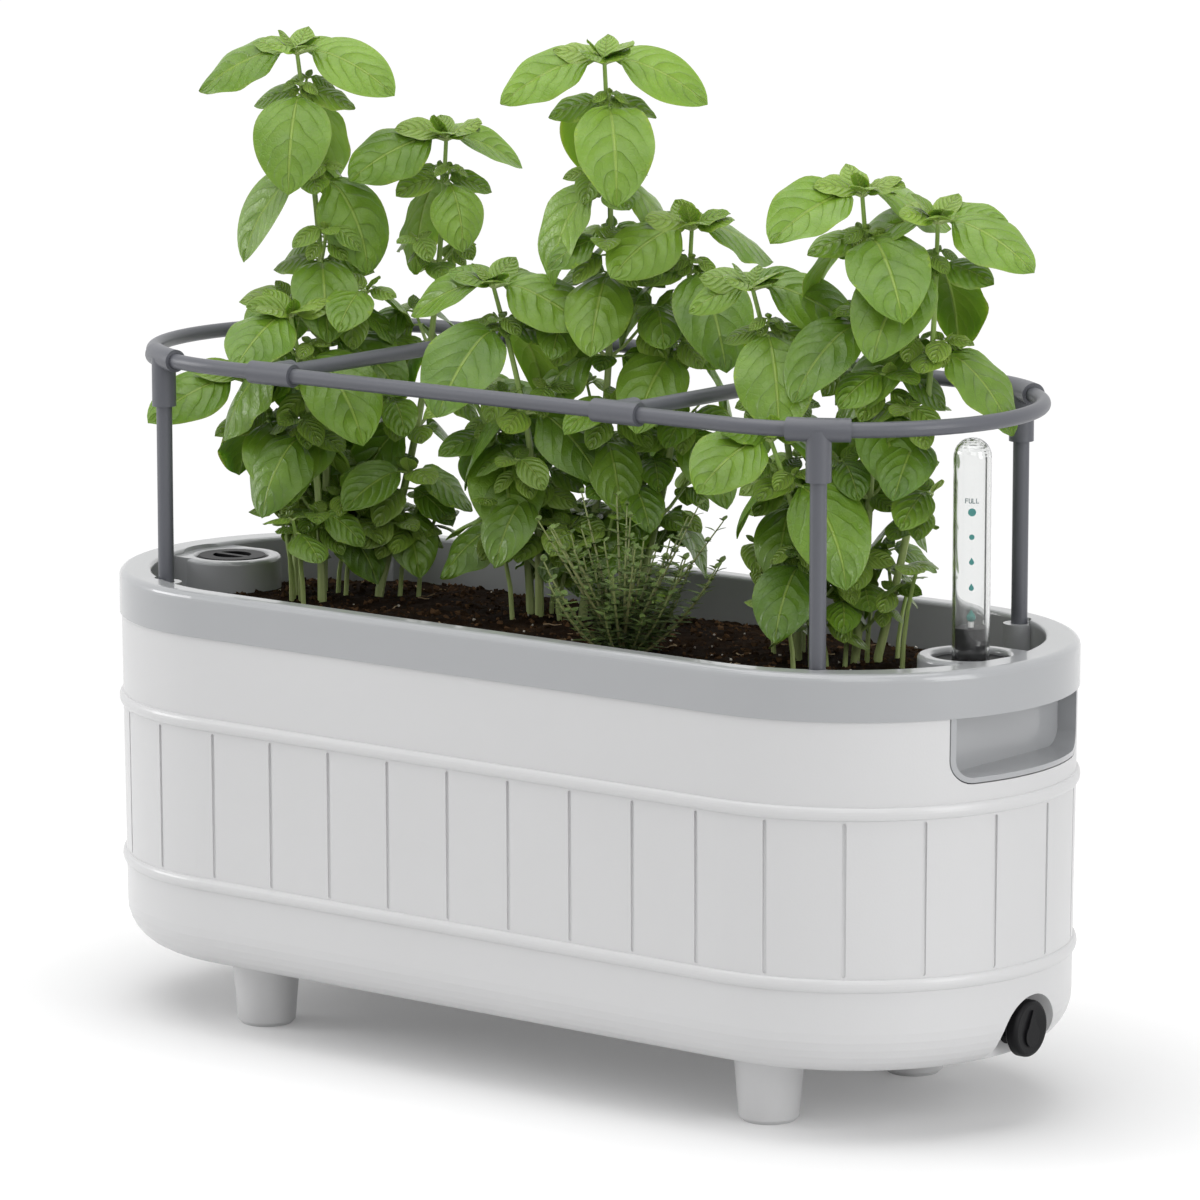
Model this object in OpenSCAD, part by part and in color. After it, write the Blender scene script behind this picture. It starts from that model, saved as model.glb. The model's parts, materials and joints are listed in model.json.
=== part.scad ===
// Self-watering herb planter: an oval reservoir shell on four feet, a lift-out tub with a
// fill port, a float gauge and wicking baskets, a plug-in tube trellis, soil and herbs.
// Millimetres, +Z up, origin on the floor under the middle of the body, front towards -Y.

/* [Shell] */
// Half the length of the straight sides, up to where the round ends start
straight_half = 164; // [120:1:200]
// Radius of the round ends at the rim
rim_r = 110; // [100:1:130]
// How far the rim stands proud of the shell
rim_proud = 1; // [0.5:0.25:2]
// Wall of the shell
shell_wall = 3; // [2:0.25:4]
// How much smaller the shell's radius is at the bottom
shell_draft = 1.2; // [0.4:0.2:3]
// Height of the shell's underside above the floor
body_bottom = 34.5; // [26:0.5:40]
// Height of the seam between the shell and the rim
seam_z = 206.5; // [200:0.5:215]
// Radius of the shell's bottom corner
bottom_round = 22; // [14:1:26]
// Height of the lower bead
bead_low_z = 80; // [76:0.5:84]
// Height of the upper bead
bead_high_z = 162.5; // [156:0.5:164]
// Height of a bead's section
bead_h = 6.6; // [4:0.2:8]
// How far a bead stands out
bead_proud = 2; // [1:0.25:2.5]
// Number of stave grooves around the shell
groove_count = 35; // [25:1:45]
// Width of a stave groove
groove_w = 2; // [1.5:0.25:3]
// Depth of a stave groove
groove_depth = 1; // [0.5:0.25:1.5]

/* [Feet] */
// Distance of the feet from the middle, lengthwise
foot_x = 160; // [130:1:170]
// Distance of the feet from the middle, crosswise
foot_y = 60; // [45:1:64]
// Diameter of a foot at the floor
foot_floor_d = 29.5; // [24:0.5:33]
// Diameter of a foot where it meets the shell
foot_top_d = 35; // [33:0.5:38]
// Length of the spigot that locks a foot into the shell's floor
foot_spigot_h = 1.5; // [1:0.25:1.75]

/* [Drain] */
// Height of the drain's axis
drain_z = 49.5; // [47:0.5:54]
// Radius of the arched recess around the knob
recess_r = 22; // [18:0.5:25]
// Depth of the recess, measured from the shell's end
recess_depth = 15; // [13:0.5:18]
// Diameter of the drain knob
knob_d = 27.6; // [22:0.2:30]
// Thickness of the drain knob
knob_t = 8; // [6:0.5:9]
// Diameter of the drain stem
stem_d = 12; // [9:0.5:14]

/* [Tub] */
// Width of the rim's top land along the sides
land_side = 12; // [10:0.5:15]
// Width of the rim's top land at the ends
land_end = 18; // [16:0.5:20]
// Height of the rim band
rim_h = 22.5; // [20:0.5:30]
// Thickness of the rim's skirt and deck
rim_wall = 3; // [2:0.25:4]
// Rounding of the rim's outer top edge
rim_round = 4; // [2:0.5:6]
// Depth of the collar that centres the rim in the shell
collar_depth = 6; // [4:0.5:10]
// Wall of the tub
tub_wall = 2.5; // [2:0.25:3.5]
// Height of the tub's floor, which is the roof of the reservoir
tub_floor_z = 92; // [88:1:110]

/* [Handle pockets] */
// Half the width of a handle pocket
pocket_half_w = 53; // [45:1:60]
// Height of a pocket below the rim
pocket_h = 32; // [26:1:36]
// Corner radius of a pocket
pocket_corner = 12; // [6:1:14]
// Depth of a pocket, measured from the rim's end
pocket_depth = 24; // [20:0.5:24]
// Wall of a pocket, which shows as its lip
pocket_wall = 2.5; // [2:0.25:3.5]

/* [Fill port and gauge] */
// Distance of both ports from the ends of the rim
port_inset = 40.5; // [40:0.5:46]
// Outer radius of a port's boss
boss_r = 25.5; // [24:0.5:26]
// How far a boss's lip stays below the deck
boss_drop = 2; // [1:0.5:3]
// Depth of a boss below the deck
boss_depth = 20; // [14:1:20]
// Depth of the recess in a boss
boss_recess_h = 5; // [4:0.5:8]
// Radius of the recess in a boss
boss_recess_r = 18.5; // [17:0.25:20]
// Half the width of the bridge between a boss and the rim
bridge_half_w = 23; // [10:1:24]
// Bore radius of the two shafts that lead down to the reservoir
shaft_r = 13.5; // [12:0.25:13.5]
// Wall of a shaft
shaft_wall = 2; // [1.5:0.25:2.25]
// Depth of the fill cap's plug
cap_plug_h = 12; // [8:1:16]
// Outer diameter of the clear gauge tube
gauge_d = 18.2; // [15:0.2:20]
// Room in the gauge tube above the pointer when the reservoir is full
gauge_head = 36.5; // [28:0.5:44]
// Wall of the gauge tube
gauge_wall = 1.3; // [1:0.1:2]
// Travel of the float from empty to full
float_travel = 49.5; // [40:0.5:50]
// Diameter of the float
float_d = 21; // [18:0.5:22]
// Height of the float
float_h = 28; // [20:1:34]
// Height of the pointer above the deck when the reservoir is empty
pointer_h = 16; // [14:0.5:20]

/* [Wicking baskets] */
// Distance of the baskets from the middle
basket_x = 95; // [80:1:110]
// Radius of a basket's mouth
basket_r = 23.5; // [20:0.5:28]
// Radius of a basket's foot
basket_foot_r = 19; // [16:0.5:20]
// Wall of a basket
basket_wall = 2; // [1.5:0.25:2.5]
// Gap between a basket's foot and the shell's floor
basket_gap = 4; // [2:0.5:8]

/* [Trellis] */
// Height of the trellis ring
ring_z = 341.5; // [338:0.5:350]
// How far the ring lies inside the tub's wall
ring_inset = 2.4; // [2:0.2:4]
// Diameter of the ring's tube
ring_d = 7.5; // [6:0.25:8.5]
// Diameter of the posts
post_d = 8; // [7:0.25:9]
// Place of the posts, in degrees round the ends from the straight sides
post_angle = 29; // [24:1:34]
// Depth of the posts in their sockets
post_depth = 25; // [20:1:40]
// Wall of a post socket
socket_wall = 3.5; // [2.5:0.25:4]
// Wall of the tees
tee_wall = 1.85; // [1.5:0.05:3]
// Wall of a post tee's sleeve
sleeve_wall = 2; // [1.5:0.1:3]
// Length of a post tee along the ring
post_tee_len = 30; // [26:1:40]
// Length of a post tee's sleeve below the ring
post_tee_drop = 24.5; // [20:0.5:32]
// Length of a cross tee along the rail
cross_tee_len = 27; // [22:1:34]
// Place of the left cross tube
cross_left_x = -121; // [-140:1:-116]
// Place of the right cross tube
cross_right_x = 95; // [92:1:120]

/* [Soil and herbs] */
// Height of the soil at the tub's wall
soil_edge_z = 205; // [200:0.5:208]
// Height of the soil in the middle
soil_mid_z = 213; // [208:0.5:216]
// Length of the largest basil leaves
leaf_len = 68; // [50:1:72]
// Width of the largest basil leaves
leaf_w = 42; // [30:1:46]
// Distance between leaf whorls on a stem
leaf_step = 42; // [34:1:50]
// Distance of the highest leaf whorl below a stem's tip
whorl_top = 22; // [16:1:30]
// Height of the lowest basil leaves above the soil
leaf_first = 40; // [34:1:60]
// Diameter of a basil stem at its foot
stalk_d = 5; // [4:0.25:6]
// Place of the thyme bush, lengthwise
thyme_x = 58; // [50:1:62]
// Place of the thyme bush, crosswise
thyme_y = -44; // [-48:1:-40]
// Length of the longest thyme sprigs
sprig_len = 88; // [60:1:96]
// Number of thyme sprigs
sprig_count = 20; // [12:1:26]

/* [Fits] */
// Gap between pieces that slide past each other
slide_gap = 0.3; // [0.3:0.05:0.5]
// Radial gap of a turning fit
run_gap = 0.05; // [0.02:0.01:0.1]
// Radial gap between a tube and the tee or hole that holds it
plug_gap = 0.1; // [0.05:0.05:0.2]

/* [Hidden] */
$fn = 48;
// Overlap that lets a cutter pass through the face it starts from
through = 1;

// Colours
white = [0.86, 0.86, 0.86];
light_grey = [0.66, 0.67, 0.68];
slate = [0.38, 0.38, 0.42];
black = [0.1, 0.1, 0.11];
clear = [0.9, 0.93, 0.95, 0.4];
teal = [0.3, 0.56, 0.5];
brown = [0.16, 0.1, 0.07];
leaf_green = [0.3, 0.5, 0.16];
thyme_green = [0.35, 0.45, 0.22];

// Feet
foot_edge = 2;
foot_spigot_d = foot_floor_d * 0.72;

// Shell
shell_r = rim_r - rim_proud;
shell_foot_r = shell_r - shell_draft;
shell_end = straight_half + shell_r;
deck_z = seam_z + rim_h;
corner_top = body_bottom + bottom_round;
shell_floor = body_bottom + shell_wall;
// Where the floor meets the wall, a little way up the bottom corner
floor_top = shell_floor + 1;
// Shell radius at a height above the bottom corner
function shell_at(z) = shell_foot_r + shell_draft * (z - corner_top) / (seam_z - corner_top);

// Tub
tub_r = rim_r - land_side;
tub_half = straight_half + land_side - land_end;
tub_end = tub_half + tub_r;
rim_end = straight_half + rim_r;
rim_seat = seam_z - collar_depth;

// Pockets
pocket_back = rim_end - pocket_depth;
pocket_bottom = seam_z - pocket_h;

// Ports
port_x = rim_end - port_inset;
boss_z = deck_z - boss_drop;
boss_floor = deck_z - boss_depth;
seat_z = boss_z - boss_recess_h;
lip_round = 2;
cap_t = boss_recess_h;
cap_edge = 1;
cap_bar_w = 3.6;
cap_grip_depth = 6;
plug_r = shaft_r - 1.6;
seal_r = 1.1;
disc_t = 2;
gauge_low = seat_z + disc_t;
gauge_h = pointer_h + float_travel + gauge_head;
gauge_top = deck_z + gauge_h;
pointer_z = deck_z + pointer_h;
pointer_size = 5;
float_bottom = shell_floor + basket_gap;
float_edge = 3;
rod_d = 3;
guide_h = 16;

// Drain
recess_x = shell_end - recess_depth;
arch_z = drain_z - 5;
bush_r = stem_d / 2 + 3;
bush_flange_w = 1.8;
bush_flange_r = bush_r + bush_flange_w;
bush_flange_t = 2.5;
washer_t = 1.5;
knob_sink = 1;
knob_edge = 2;
knob_dish = 1.5;
knob_face_x = shell_end - knob_sink;
knob_back_x = knob_face_x - knob_t;
inside_x = recess_x - shell_wall;
panel_x = straight_half + shell_foot_r - bottom_round - through;
panel_half_w = recess_r + 12;
panel_top = bead_low_z - bead_h / 2;
bush_x = inside_x - washer_t - bush_flange_t;
stem_tail = 1;

// Baskets
basket_lip = 4;
basket_lip_t = 2;
basket_neck_z = tub_floor_z - tub_wall - 2;
basket_slots = 10;
slot_w = 3;
slot_margin = 8;
basket_bottom = shell_floor + basket_gap;

// Trellis
ring_r = tub_r - ring_inset;
ring_half = tub_half;
post_x = ring_half + ring_r * sin(post_angle);
post_y = ring_r * cos(post_angle);
post_foot = boss_z - post_depth;
post_stop = 2;
post_clear = 2;
post_top = ring_z - ring_d / 2 - post_stop;
socket_r = post_d / 2 + slide_gap + socket_wall;
tee_r = ring_d / 2 + plug_gap + tee_wall;
post_sleeve_r = post_d / 2 + plug_gap + sleeve_wall;
tee_half_angle = post_tee_len / 2 / ring_r * 180 / PI;
butt_angle = 0.3;
branch_len = tee_r * 2.4;
cross_start = ring_d / 2 + plug_gap + 0.9;

// Herbs
// Room that the leaves keep beside the trellis, the gauge and the cap
lane = tee_r + 2;
cap_lane = boss_recess_r + 5.5;
// How far a stem bows out half-way up
stalk_bow = 8;
// Height and reach of the thyme bush, with room to spare
thyme_top = soil_mid_z + sprig_len;
sprig_tilt = 40;
thyme_reach = sprig_len * sin(sprig_tilt) + 4;
// Thyme crown, the sprigs that leave it and their leaves
crown_r = 5;
crown_h = 6;
sprig_d = 2.2;
leaflet_len = 8;
leaflet_rise = 25;
// Basil stems: foot x, foot y, tip x, tip y, tip z, turn of the first leaf pair
left_stems = [
    [-172, 0, -186, 0, 490, 28],
    [-146, 14, -126, 46, 446, 58],
    [-160, -14, -164, -32, 360, 100],
    [-180, -10, -208, -18, 322, 62],
];
middle_stems = [
    [-22, 26, 0, 16, 494, 40],
    [-40, 14, -48, -12, 382, 12],
    [2, 36, 36, 40, 412, 75],
    [-52, 22, -76, 6, 322, 50],
];
right_stems = [
    [130, 2, 117, -18, 394, 32],
    [160, 8, 174, -8, 442, 70],
    [166, 18, 208, 6, 430, 10],
    [148, -10, 146, -42, 326, 84],
];
// Room of each plant between its neighbours: lowest x, highest x
left_room = [-262, -98];
middle_room = [-96, 84];
right_room = [90, 262];

// Repeatable share from 0 to 1 for a whole number
function chance(n) = let (v = (n * 7919 + 4447) % 1009) ((v * v) % 97) / 96;
// Height of the soil's surface a distance y from the middle
function soil_at(y) =
    let (r = tub_r - slide_gap, share = abs(y) / r)
    share < 0.3 ? soil_mid_z
    : share < 0.65 ? soil_mid_z - 3 * (share - 0.3) / 0.35
    : soil_mid_z - 3 - (soil_mid_z - 3 - soil_edge_z) * (share - 0.65) / 0.35;

// Point on a basil stem, a share t of the way up
function stalk_point(stem, t) =
    let (foot = [stem[0], stem[1], soil_at(stem[1]) + slide_gap], tip = [stem[2], stem[3], stem[4]])
    foot + (tip - foot) * t + stalk_bow * sin(180 * t) * [cos(stem[5]), sin(stem[5]), 0];
// Run and rise of an arc of a given length whose slope goes from a to b
function arc_step(length, a, b) = length * 180 / PI / (a - b) * [sin(a) - sin(b), cos(b) - cos(a)];
// Point on a leaf: t along its midrib, which bends over at its neck, and w to the left of it
function leaf_point(foot, turn, rise, droop, length, t, w = 0, lift = 0) =
    let (neck = 0.3, middle = rise - 0.65 * droop, end = rise - droop,
        step = t <= neck ? arc_step(length * t, rise, rise + (middle - rise) * t / neck)
            : arc_step(length * neck, rise, middle)
                + arc_step(length * (t - neck), middle, middle + (end - middle) * (t - neck) / (1 - neck)))
    foot + step[0] * [cos(turn), sin(turn), 0] + w * [-sin(turn), cos(turn), 0]
        + [0, 0, step[1] + lift - abs(w) * 0.15];
// Half the width of a leaf at a share t of its length
function leaf_half(length, t) = leaf_w / leaf_len * length / 2 * pow(sin(180 * pow(t, 0.8)), 0.8);
// Whether a point lies in the trellis cell of a plant, clear of the tubes
function in_cell(p, room) =
    let (middle = (room[0] + room[1]) / 2, dx = max(abs(p[0]) - ring_half, 0),
        x0 = middle > cross_right_x ? cross_right_x : middle > cross_left_x ? cross_left_x : -tub_end,
        x1 = middle < cross_left_x ? cross_left_x : middle < cross_right_x ? cross_right_x : tub_end)
    p[0] > x0 + lane && p[0] < x1 - lane && norm([dx, p[1]]) < ring_r - lane;
// Whether a point keeps to its plant's room, clear of the trellis as it lifts, the ports and the thyme
function is_clear(p, room) =
    let (lifted = ring_z + post_depth,
        by_ring = p[2] > ring_z - lane && p[2] < lifted + lane && !in_cell(p, room),
        by_post = p[2] < lifted && norm([abs(p[0]) - post_x, abs(p[1]) - post_y]) < lane + 2,
        by_gauge = p[2] < gauge_top + lane && norm([p[0] - port_x, p[1]]) < gauge_d / 2 + lane,
        by_cap = p[2] < deck_z + 3 * cap_plug_h && norm([p[0] + port_x, p[1]]) < cap_lane,
        by_thyme = p[2] < thyme_top && norm([p[0] - thyme_x, p[1] - thyme_y]) < thyme_reach)
    p[0] > room[0] && p[0] < room[1] && abs(p[1]) < tub_r && p[2] > soil_mid_z + 2
        && !by_ring && !by_post && !by_gauge && !by_cap && !by_thyme;
// Whether a whole leaf is clear, tested along its midrib and both edges
function leaf_fits(foot, turn, rise, droop, length, room) =
    len([for (t = [0.2:0.2:1], side = [-1, 0, 1])
        let (p = leaf_point(foot, turn, rise, droop, length, t, side * leaf_half(length, t)))
        if (!is_clear(p, room)) p]) == 0;
// Leaves of one stem: foot, turn, rise, droop, length. A rosette closes the tip, and whorls of two large
// and two small leaves follow below it, each a quarter turn on.
function stem_leaves(stem, seed) =
    let (height = stem[4] - soil_at(stem[1]), count = floor((height - leaf_first - whorl_top) / leaf_step) + 1)
    concat(
        [for (k = [0:5]) let (long = k % 3 == 0)
            [stalk_point(stem, 1), stem[5] + 60 * k, long ? 24 : 55, long ? 66 : 60,
                leaf_len * (long ? 0.85 : 0.36)]],
        [for (k = [0:count - 1], q = [0:3])
            let (n = seed + 4 * k + q, large = q % 2 == 0, t = 1 - (whorl_top + k * leaf_step) / height,
                size = leaf_len * (1 - 0.42 * k / count))
            [stalk_point(stem, t), stem[5] + 90 * (k + 1 + q) + 36 * (chance(n) - 0.5),
                large ? 14 + 16 * chance(n + 30) : 40, large ? 88 + 24 * chance(n + 60) : 76,
                size * (large ? 1 : 0.52 - 0.12 * chance(n + 90))]]
    );

// Points of a rounded corner, from angle a to angle b
function arc(c, r, a, b, n = 8) =
    [for (i = [0:n]) c + r * [cos(a + (b - a) * i / n), sin(a + (b - a) * i / n)]];
// Section of a bead that stands out of the shell
function bead(z, n = 8) =
    [for (i = [0:n]) let (a = -90 + 180 * i / n)
        [shell_at(z + bead_h / 2 * sin(a)) + bead_proud * cos(a), z + bead_h / 2 * sin(a)]];
// Place and facing on the shell's outline, a distance s from the middle of the front
function on_outline(s, r) =
    let (turn = PI * r, front = straight_half, right = front + turn, rear = right + 2 * straight_half)
    s < front ? [s, -r, -90]
    : s < right ? let (a = -90 + (s - front) / turn * 180)
        [straight_half + r * cos(a), r * sin(a), a]
    : s < rear ? [straight_half - (s - right), r, 90]
    : s < rear + turn ? let (a = 90 + (s - rear) / turn * 180)
        [-straight_half + r * cos(a), r * sin(a), a]
    : [s - rear - turn - straight_half, -r, -90];

// Solid with straight sides and round ends, from half a section that starts and ends at r = 0
module oval(half, section) {
    for (side = [0, 1])
        mirror([side, 0, 0]) translate([half, 0, 0]) rotate([0, 0, -90])
            rotate_extrude(angle = 180) polygon(section);
    mirrored = [for (i = [len(section) - 1:-1:0]) if (section[i][0] > 0) [-section[i][0], section[i][1]]];
    translate([-half, 0, 0]) rotate([90, 0, 90]) linear_extrude(2 * half) polygon(concat(section, mirrored));
}

// Upright oval prism
module oval_prism(half, r, low, high) {
    oval(half, [[0, low], [r, low], [r, high], [0, high]]);
}

module at_both_ends() {
    for (side = [0, 1]) mirror([side, 0, 0]) children();
}

module at_posts() {
    for (sx = [-1, 1], sy = [-1, 1]) translate([sx * post_x, sy * post_y, 0]) children();
}

// Ring lying in the XY plane, between two radii
module washer_shape(r_out, r_in, low, high) {
    translate([0, 0, low]) difference() {
        cylinder(r = r_out, h = high - low);
        translate([0, 0, -through]) cylinder(r = r_in, h = high - low + 2 * through);
    }
}

// Cylinder along +X from x0 to x1 on the drain's axis
module drain_rod(r, x0, x1) {
    translate([x0, 0, drain_z]) rotate([0, 90, 0]) cylinder(r = r, h = x1 - x0);
}

// Outline of the arched recess, seen from the end, grown by a margin
module recess_cut(x0, grow) {
    depth = shell_end - x0 + through;
    translate([x0, 0, arch_z]) rotate([0, 90, 0]) cylinder(r = recess_r + grow, h = depth);
    translate([x0, -recess_r - grow, body_bottom - through])
        cube([depth, 2 * (recess_r + grow), arch_z - body_bottom + through]);
}

// Block with the pocket's rounded outline, grown by a margin, from x0 outwards, topped at z1
module pocket_block(x0, x1, grow, z1) {
    w = pocket_half_w + grow;
    z0 = pocket_bottom - grow;
    r = pocket_corner + grow;
    translate([x0, 0, 0]) rotate([90, 0, 90]) linear_extrude(x1 - x0) {
        translate([-w, z0 + r]) square([2 * w, z1 - z0 - r]);
        translate([-w + r, z0]) square([2 * (w - r), 2 * r]);
        for (side = [-1, 1]) translate([side * (w - r), z0 + r]) circle(r);
    }
}

function shell_section(inset, top) =
    concat(
        [[0, body_bottom + inset]],
        arc([shell_foot_r - bottom_round, corner_top], bottom_round - inset, -90, 0),
        inset > 0 ? [] : concat(bead(bead_low_z), bead(bead_high_z)),
        [[shell_r - inset, seam_z], [shell_r - inset, top], [0, top]]
    );

module stave_grooves() {
    r = shell_at((bead_low_z + bead_high_z) / 2) - groove_depth;
    pitch = (4 * straight_half + 2 * PI * r) / groove_count;
    low = bead_low_z + bead_h / 2 + groove_w;
    high = bead_high_z - bead_h / 2 - groove_w;
    reach = groove_depth + 2;
    for (i = [0:groove_count - 1]) {
        p = on_outline(i * pitch, r);
        translate([p[0], p[1], 0]) rotate([0, 0, p[2]]) {
            translate([0, -groove_w / 2, low]) cube([reach, groove_w, high - low]);
            for (z = [low, high]) translate([0, 0, z]) rotate([0, 90, 0]) cylinder(d = groove_w, h = reach);
        }
    }
}

// The whole shell, which the next three pieces share out between them
module shell_moulding() {
    difference() {
        oval(straight_half, shell_section(0, seam_z));
        difference() {
            oval(straight_half, shell_section(shell_wall, seam_z + through));
            recess_cut(inside_x, shell_wall);
        }
        recess_cut(recess_x, 0);
        drain_rod(bush_r + plug_gap, inside_x - through, recess_x + through);
        at_both_ends()
            pocket_block(pocket_back, shell_end + bead_proud + through, slide_gap, seam_z + through);
        for (sx = [-1, 1], sy = [-1, 1]) translate([sx * foot_x, sy * foot_y, body_bottom - through])
            cylinder(d = foot_spigot_d + 2 * plug_gap, h = foot_spigot_h + plug_gap + through);
        stave_grooves();
    }
}

module floor_block() {
    translate([-shell_end, -shell_r, body_bottom - through])
        cube([2 * shell_end, 2 * shell_r, floor_top - body_bottom + through]);
}

module panel_block() {
    translate([panel_x, -panel_half_w, floor_top])
        cube([shell_end + through - panel_x, 2 * panel_half_w, panel_top - floor_top]);
}

module outer_shell() {
    color(white) difference() {
        shell_moulding();
        floor_block();
        panel_block();
    }
}

module reservoir_floor() {
    color(white) intersection() {
        shell_moulding();
        floor_block();
    }
}

// Panel of the shell with the arched recess for the drain knob
module drain_panel() {
    color(white) intersection() {
        shell_moulding();
        panel_block();
    }
}

// Tapered foot with a spigot that locks into a blind hole in the shell's floor
module foot(sx, sy) {
    color(white) translate([sx * foot_x, sy * foot_y, 0]) {
        rotate_extrude() polygon([[0, 0], [foot_floor_d / 2 - foot_edge, 0], [foot_floor_d / 2, foot_edge],
            [foot_top_d / 2, body_bottom], [0, body_bottom]]);
        cylinder(d = foot_spigot_d, h = body_bottom + foot_spigot_h);
    }
}

// Bush through the recess wall, with its flange inside the reservoir
module drain_bush() {
    color(black) difference() {
        union() {
            drain_rod(bush_r, bush_x, recess_x);
            drain_rod(bush_flange_r, bush_x, bush_x + bush_flange_t);
        }
        drain_rod(stem_d / 2 + run_gap, bush_x - through, recess_x + through);
    }
}

module drain_washer() {
    color(black) difference() {
        drain_rod(bush_flange_r, inside_x - washer_t, inside_x);
        drain_rod(bush_r + plug_gap, inside_x - washer_t - through, inside_x + through);
    }
}

module drain_stem() {
    color(black) drain_rod(stem_d / 2, bush_x - stem_tail, knob_back_x);
}

// Round knob with a dished face and a drop-shaped grip
module drain_knob() {
    r = knob_d / 2;
    grip_r = r * 0.4;
    color(black) translate([knob_back_x, 0, drain_z]) rotate([0, 90, 0]) {
        rotate_extrude() polygon(concat(
            [[0, 0], [r - knob_edge, 0], [r, knob_edge]],
            arc([r - knob_edge, knob_t - knob_dish / 2 - knob_edge], knob_edge, 0, 90, 4),
            [[0, knob_t - knob_dish]]
        ));
        translate([0, 0, knob_t - 2 * knob_dish]) linear_extrude(2 * knob_dish) {
            translate([grip_r * 0.6, 0]) circle(grip_r);
            polygon([[grip_r * 0.6, grip_r], [-r * 0.66, 0], [grip_r * 0.6, -grip_r]]);
        }
    }
}

// Rim band, deck and their hollow underside
module rim_solid() {
    r = rim_r;
    oval(straight_half, concat(
        [[0, seam_z], [r, seam_z]],
        arc([r - rim_round, deck_z - rim_round], rim_round, 0, 90, 6),
        [[0, deck_z]]
    ));
    oval_prism(straight_half, shell_r - shell_wall - slide_gap, rim_seat, seam_z + through);
}

module rim_hollow() {
    difference() {
        union() {
            oval_prism(straight_half, rim_r - rim_wall, seam_z, deck_z - rim_wall);
            oval_prism(straight_half, shell_r - shell_wall - slide_gap - rim_wall, rim_seat - through,
                seam_z + through);
        }
        oval_prism(tub_half, tub_r + tub_wall, rim_seat - 2 * through, deck_z);
    }
}

module post_sockets() {
    at_posts() translate([0, 0, post_foot - socket_wall])
        cylinder(r = socket_r, h = boss_z - post_foot + socket_wall);
}

// Everything that stands inside the tub as one moulding: bosses, bridges, shafts, sockets, pockets
module tub_inserts() {
    at_both_ends() {
        translate([port_x, 0, 0]) rotate_extrude() polygon(concat(
            [[0, boss_floor], [boss_r, boss_floor]],
            arc([boss_r - lip_round, boss_z - lip_round], lip_round, 0, 90, 4),
            [[0, boss_z]]
        ));
        translate([port_x, 0, tub_floor_z - tub_wall])
            cylinder(r = shaft_r + shaft_wall, h = boss_floor - tub_floor_z + tub_wall + through);
        translate([port_x, -bridge_half_w, boss_floor])
            cube([tub_end - port_x, 2 * bridge_half_w, boss_z - boss_floor]);
        pocket_block(pocket_back - pocket_wall, tub_end + tub_wall, 0, seam_z + pocket_wall);
    }
    post_sockets();
}

// Box of a handle pocket, trimmed to the shell's outside
module pocket_box() {
    intersection() {
        pocket_block(pocket_back - pocket_wall, shell_end, -slide_gap, seam_z + pocket_wall);
        oval(straight_half, [[0, corner_top], [shell_foot_r, corner_top], [shell_r, seam_z],
            [shell_r, deck_z - rim_round], [0, deck_z - rim_round]]);
    }
}

// Room for the soil, with a rounded edge at the deck
module tub_hollow() {
    oval(tub_half, concat(
        [[0, tub_floor_z], [tub_r, tub_floor_z]],
        arc([tub_r + lip_round, deck_z - lip_round], lip_round, 180, 90, 4),
        [[tub_r + lip_round, deck_z + through], [0, deck_z + through]]
    ));
}

// Recess in a boss, with a rounded lip, and the step down to it from the deck
module port_recess() {
    rotate_extrude() polygon(concat(
        [[0, seat_z], [boss_recess_r, seat_z]],
        arc([boss_recess_r + lip_round, boss_z - lip_round], lip_round, 180, 90, 4),
        [[boss_r, boss_z], [boss_r, deck_z + through], [0, deck_z + through]]
    ));
}

module planter_tub() {
    color(light_grey) difference() {
        union() {
            difference() {
                union() {
                    rim_solid();
                    oval_prism(tub_half, tub_r + tub_wall, tub_floor_z - tub_wall, seam_z + through);
                }
                rim_hollow();
                difference() {
                    tub_hollow();
                    tub_inserts();
                }
            }
            post_sockets();
            at_both_ends() pocket_box();
        }
        at_both_ends() {
            pocket_block(pocket_back, rim_end + through, -slide_gap - pocket_wall, seam_z);
            translate([port_x, 0, tub_floor_z - tub_wall - through]) cylinder(r = shaft_r, h = deck_z);
            translate([port_x, 0, 0]) port_recess();
        }
        at_posts() {
            translate([0, 0, post_foot]) cylinder(d = post_d + 2 * slide_gap, h = deck_z);
            translate([0, 0, boss_z]) cylinder(r = post_d / 2 + post_clear, h = deck_z);
        }
        for (sx = [-1, 1]) translate([sx * basket_x, 0, tub_floor_z - tub_wall - through])
            cylinder(r = basket_r + plug_gap, h = tub_wall + 2 * through);
    }
}

// Perforated cup that hangs through the tub's floor and carries soil down into the water
module wick_basket(sx) {
    reach = basket_r + basket_lip;
    color(light_grey) translate([sx * basket_x, 0, 0]) difference() {
        rotate_extrude() polygon([
            [0, basket_bottom], [basket_foot_r, basket_bottom], [basket_r, basket_neck_z],
            [basket_r, tub_floor_z], [reach, tub_floor_z], [reach, tub_floor_z + basket_lip_t],
            [basket_r - basket_wall, tub_floor_z + basket_lip_t], [basket_r - basket_wall, basket_neck_z],
            [basket_foot_r - basket_wall, basket_bottom + basket_wall], [0, basket_bottom + basket_wall]
        ]);
        for (i = [0:basket_slots / 2 - 1]) rotate([0, 0, i * 360 / basket_slots])
            translate([-reach, -slot_w / 2, basket_bottom + slot_margin])
                cube([2 * reach, slot_w, basket_neck_z - basket_bottom - 2 * slot_margin]);
    }
}

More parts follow.
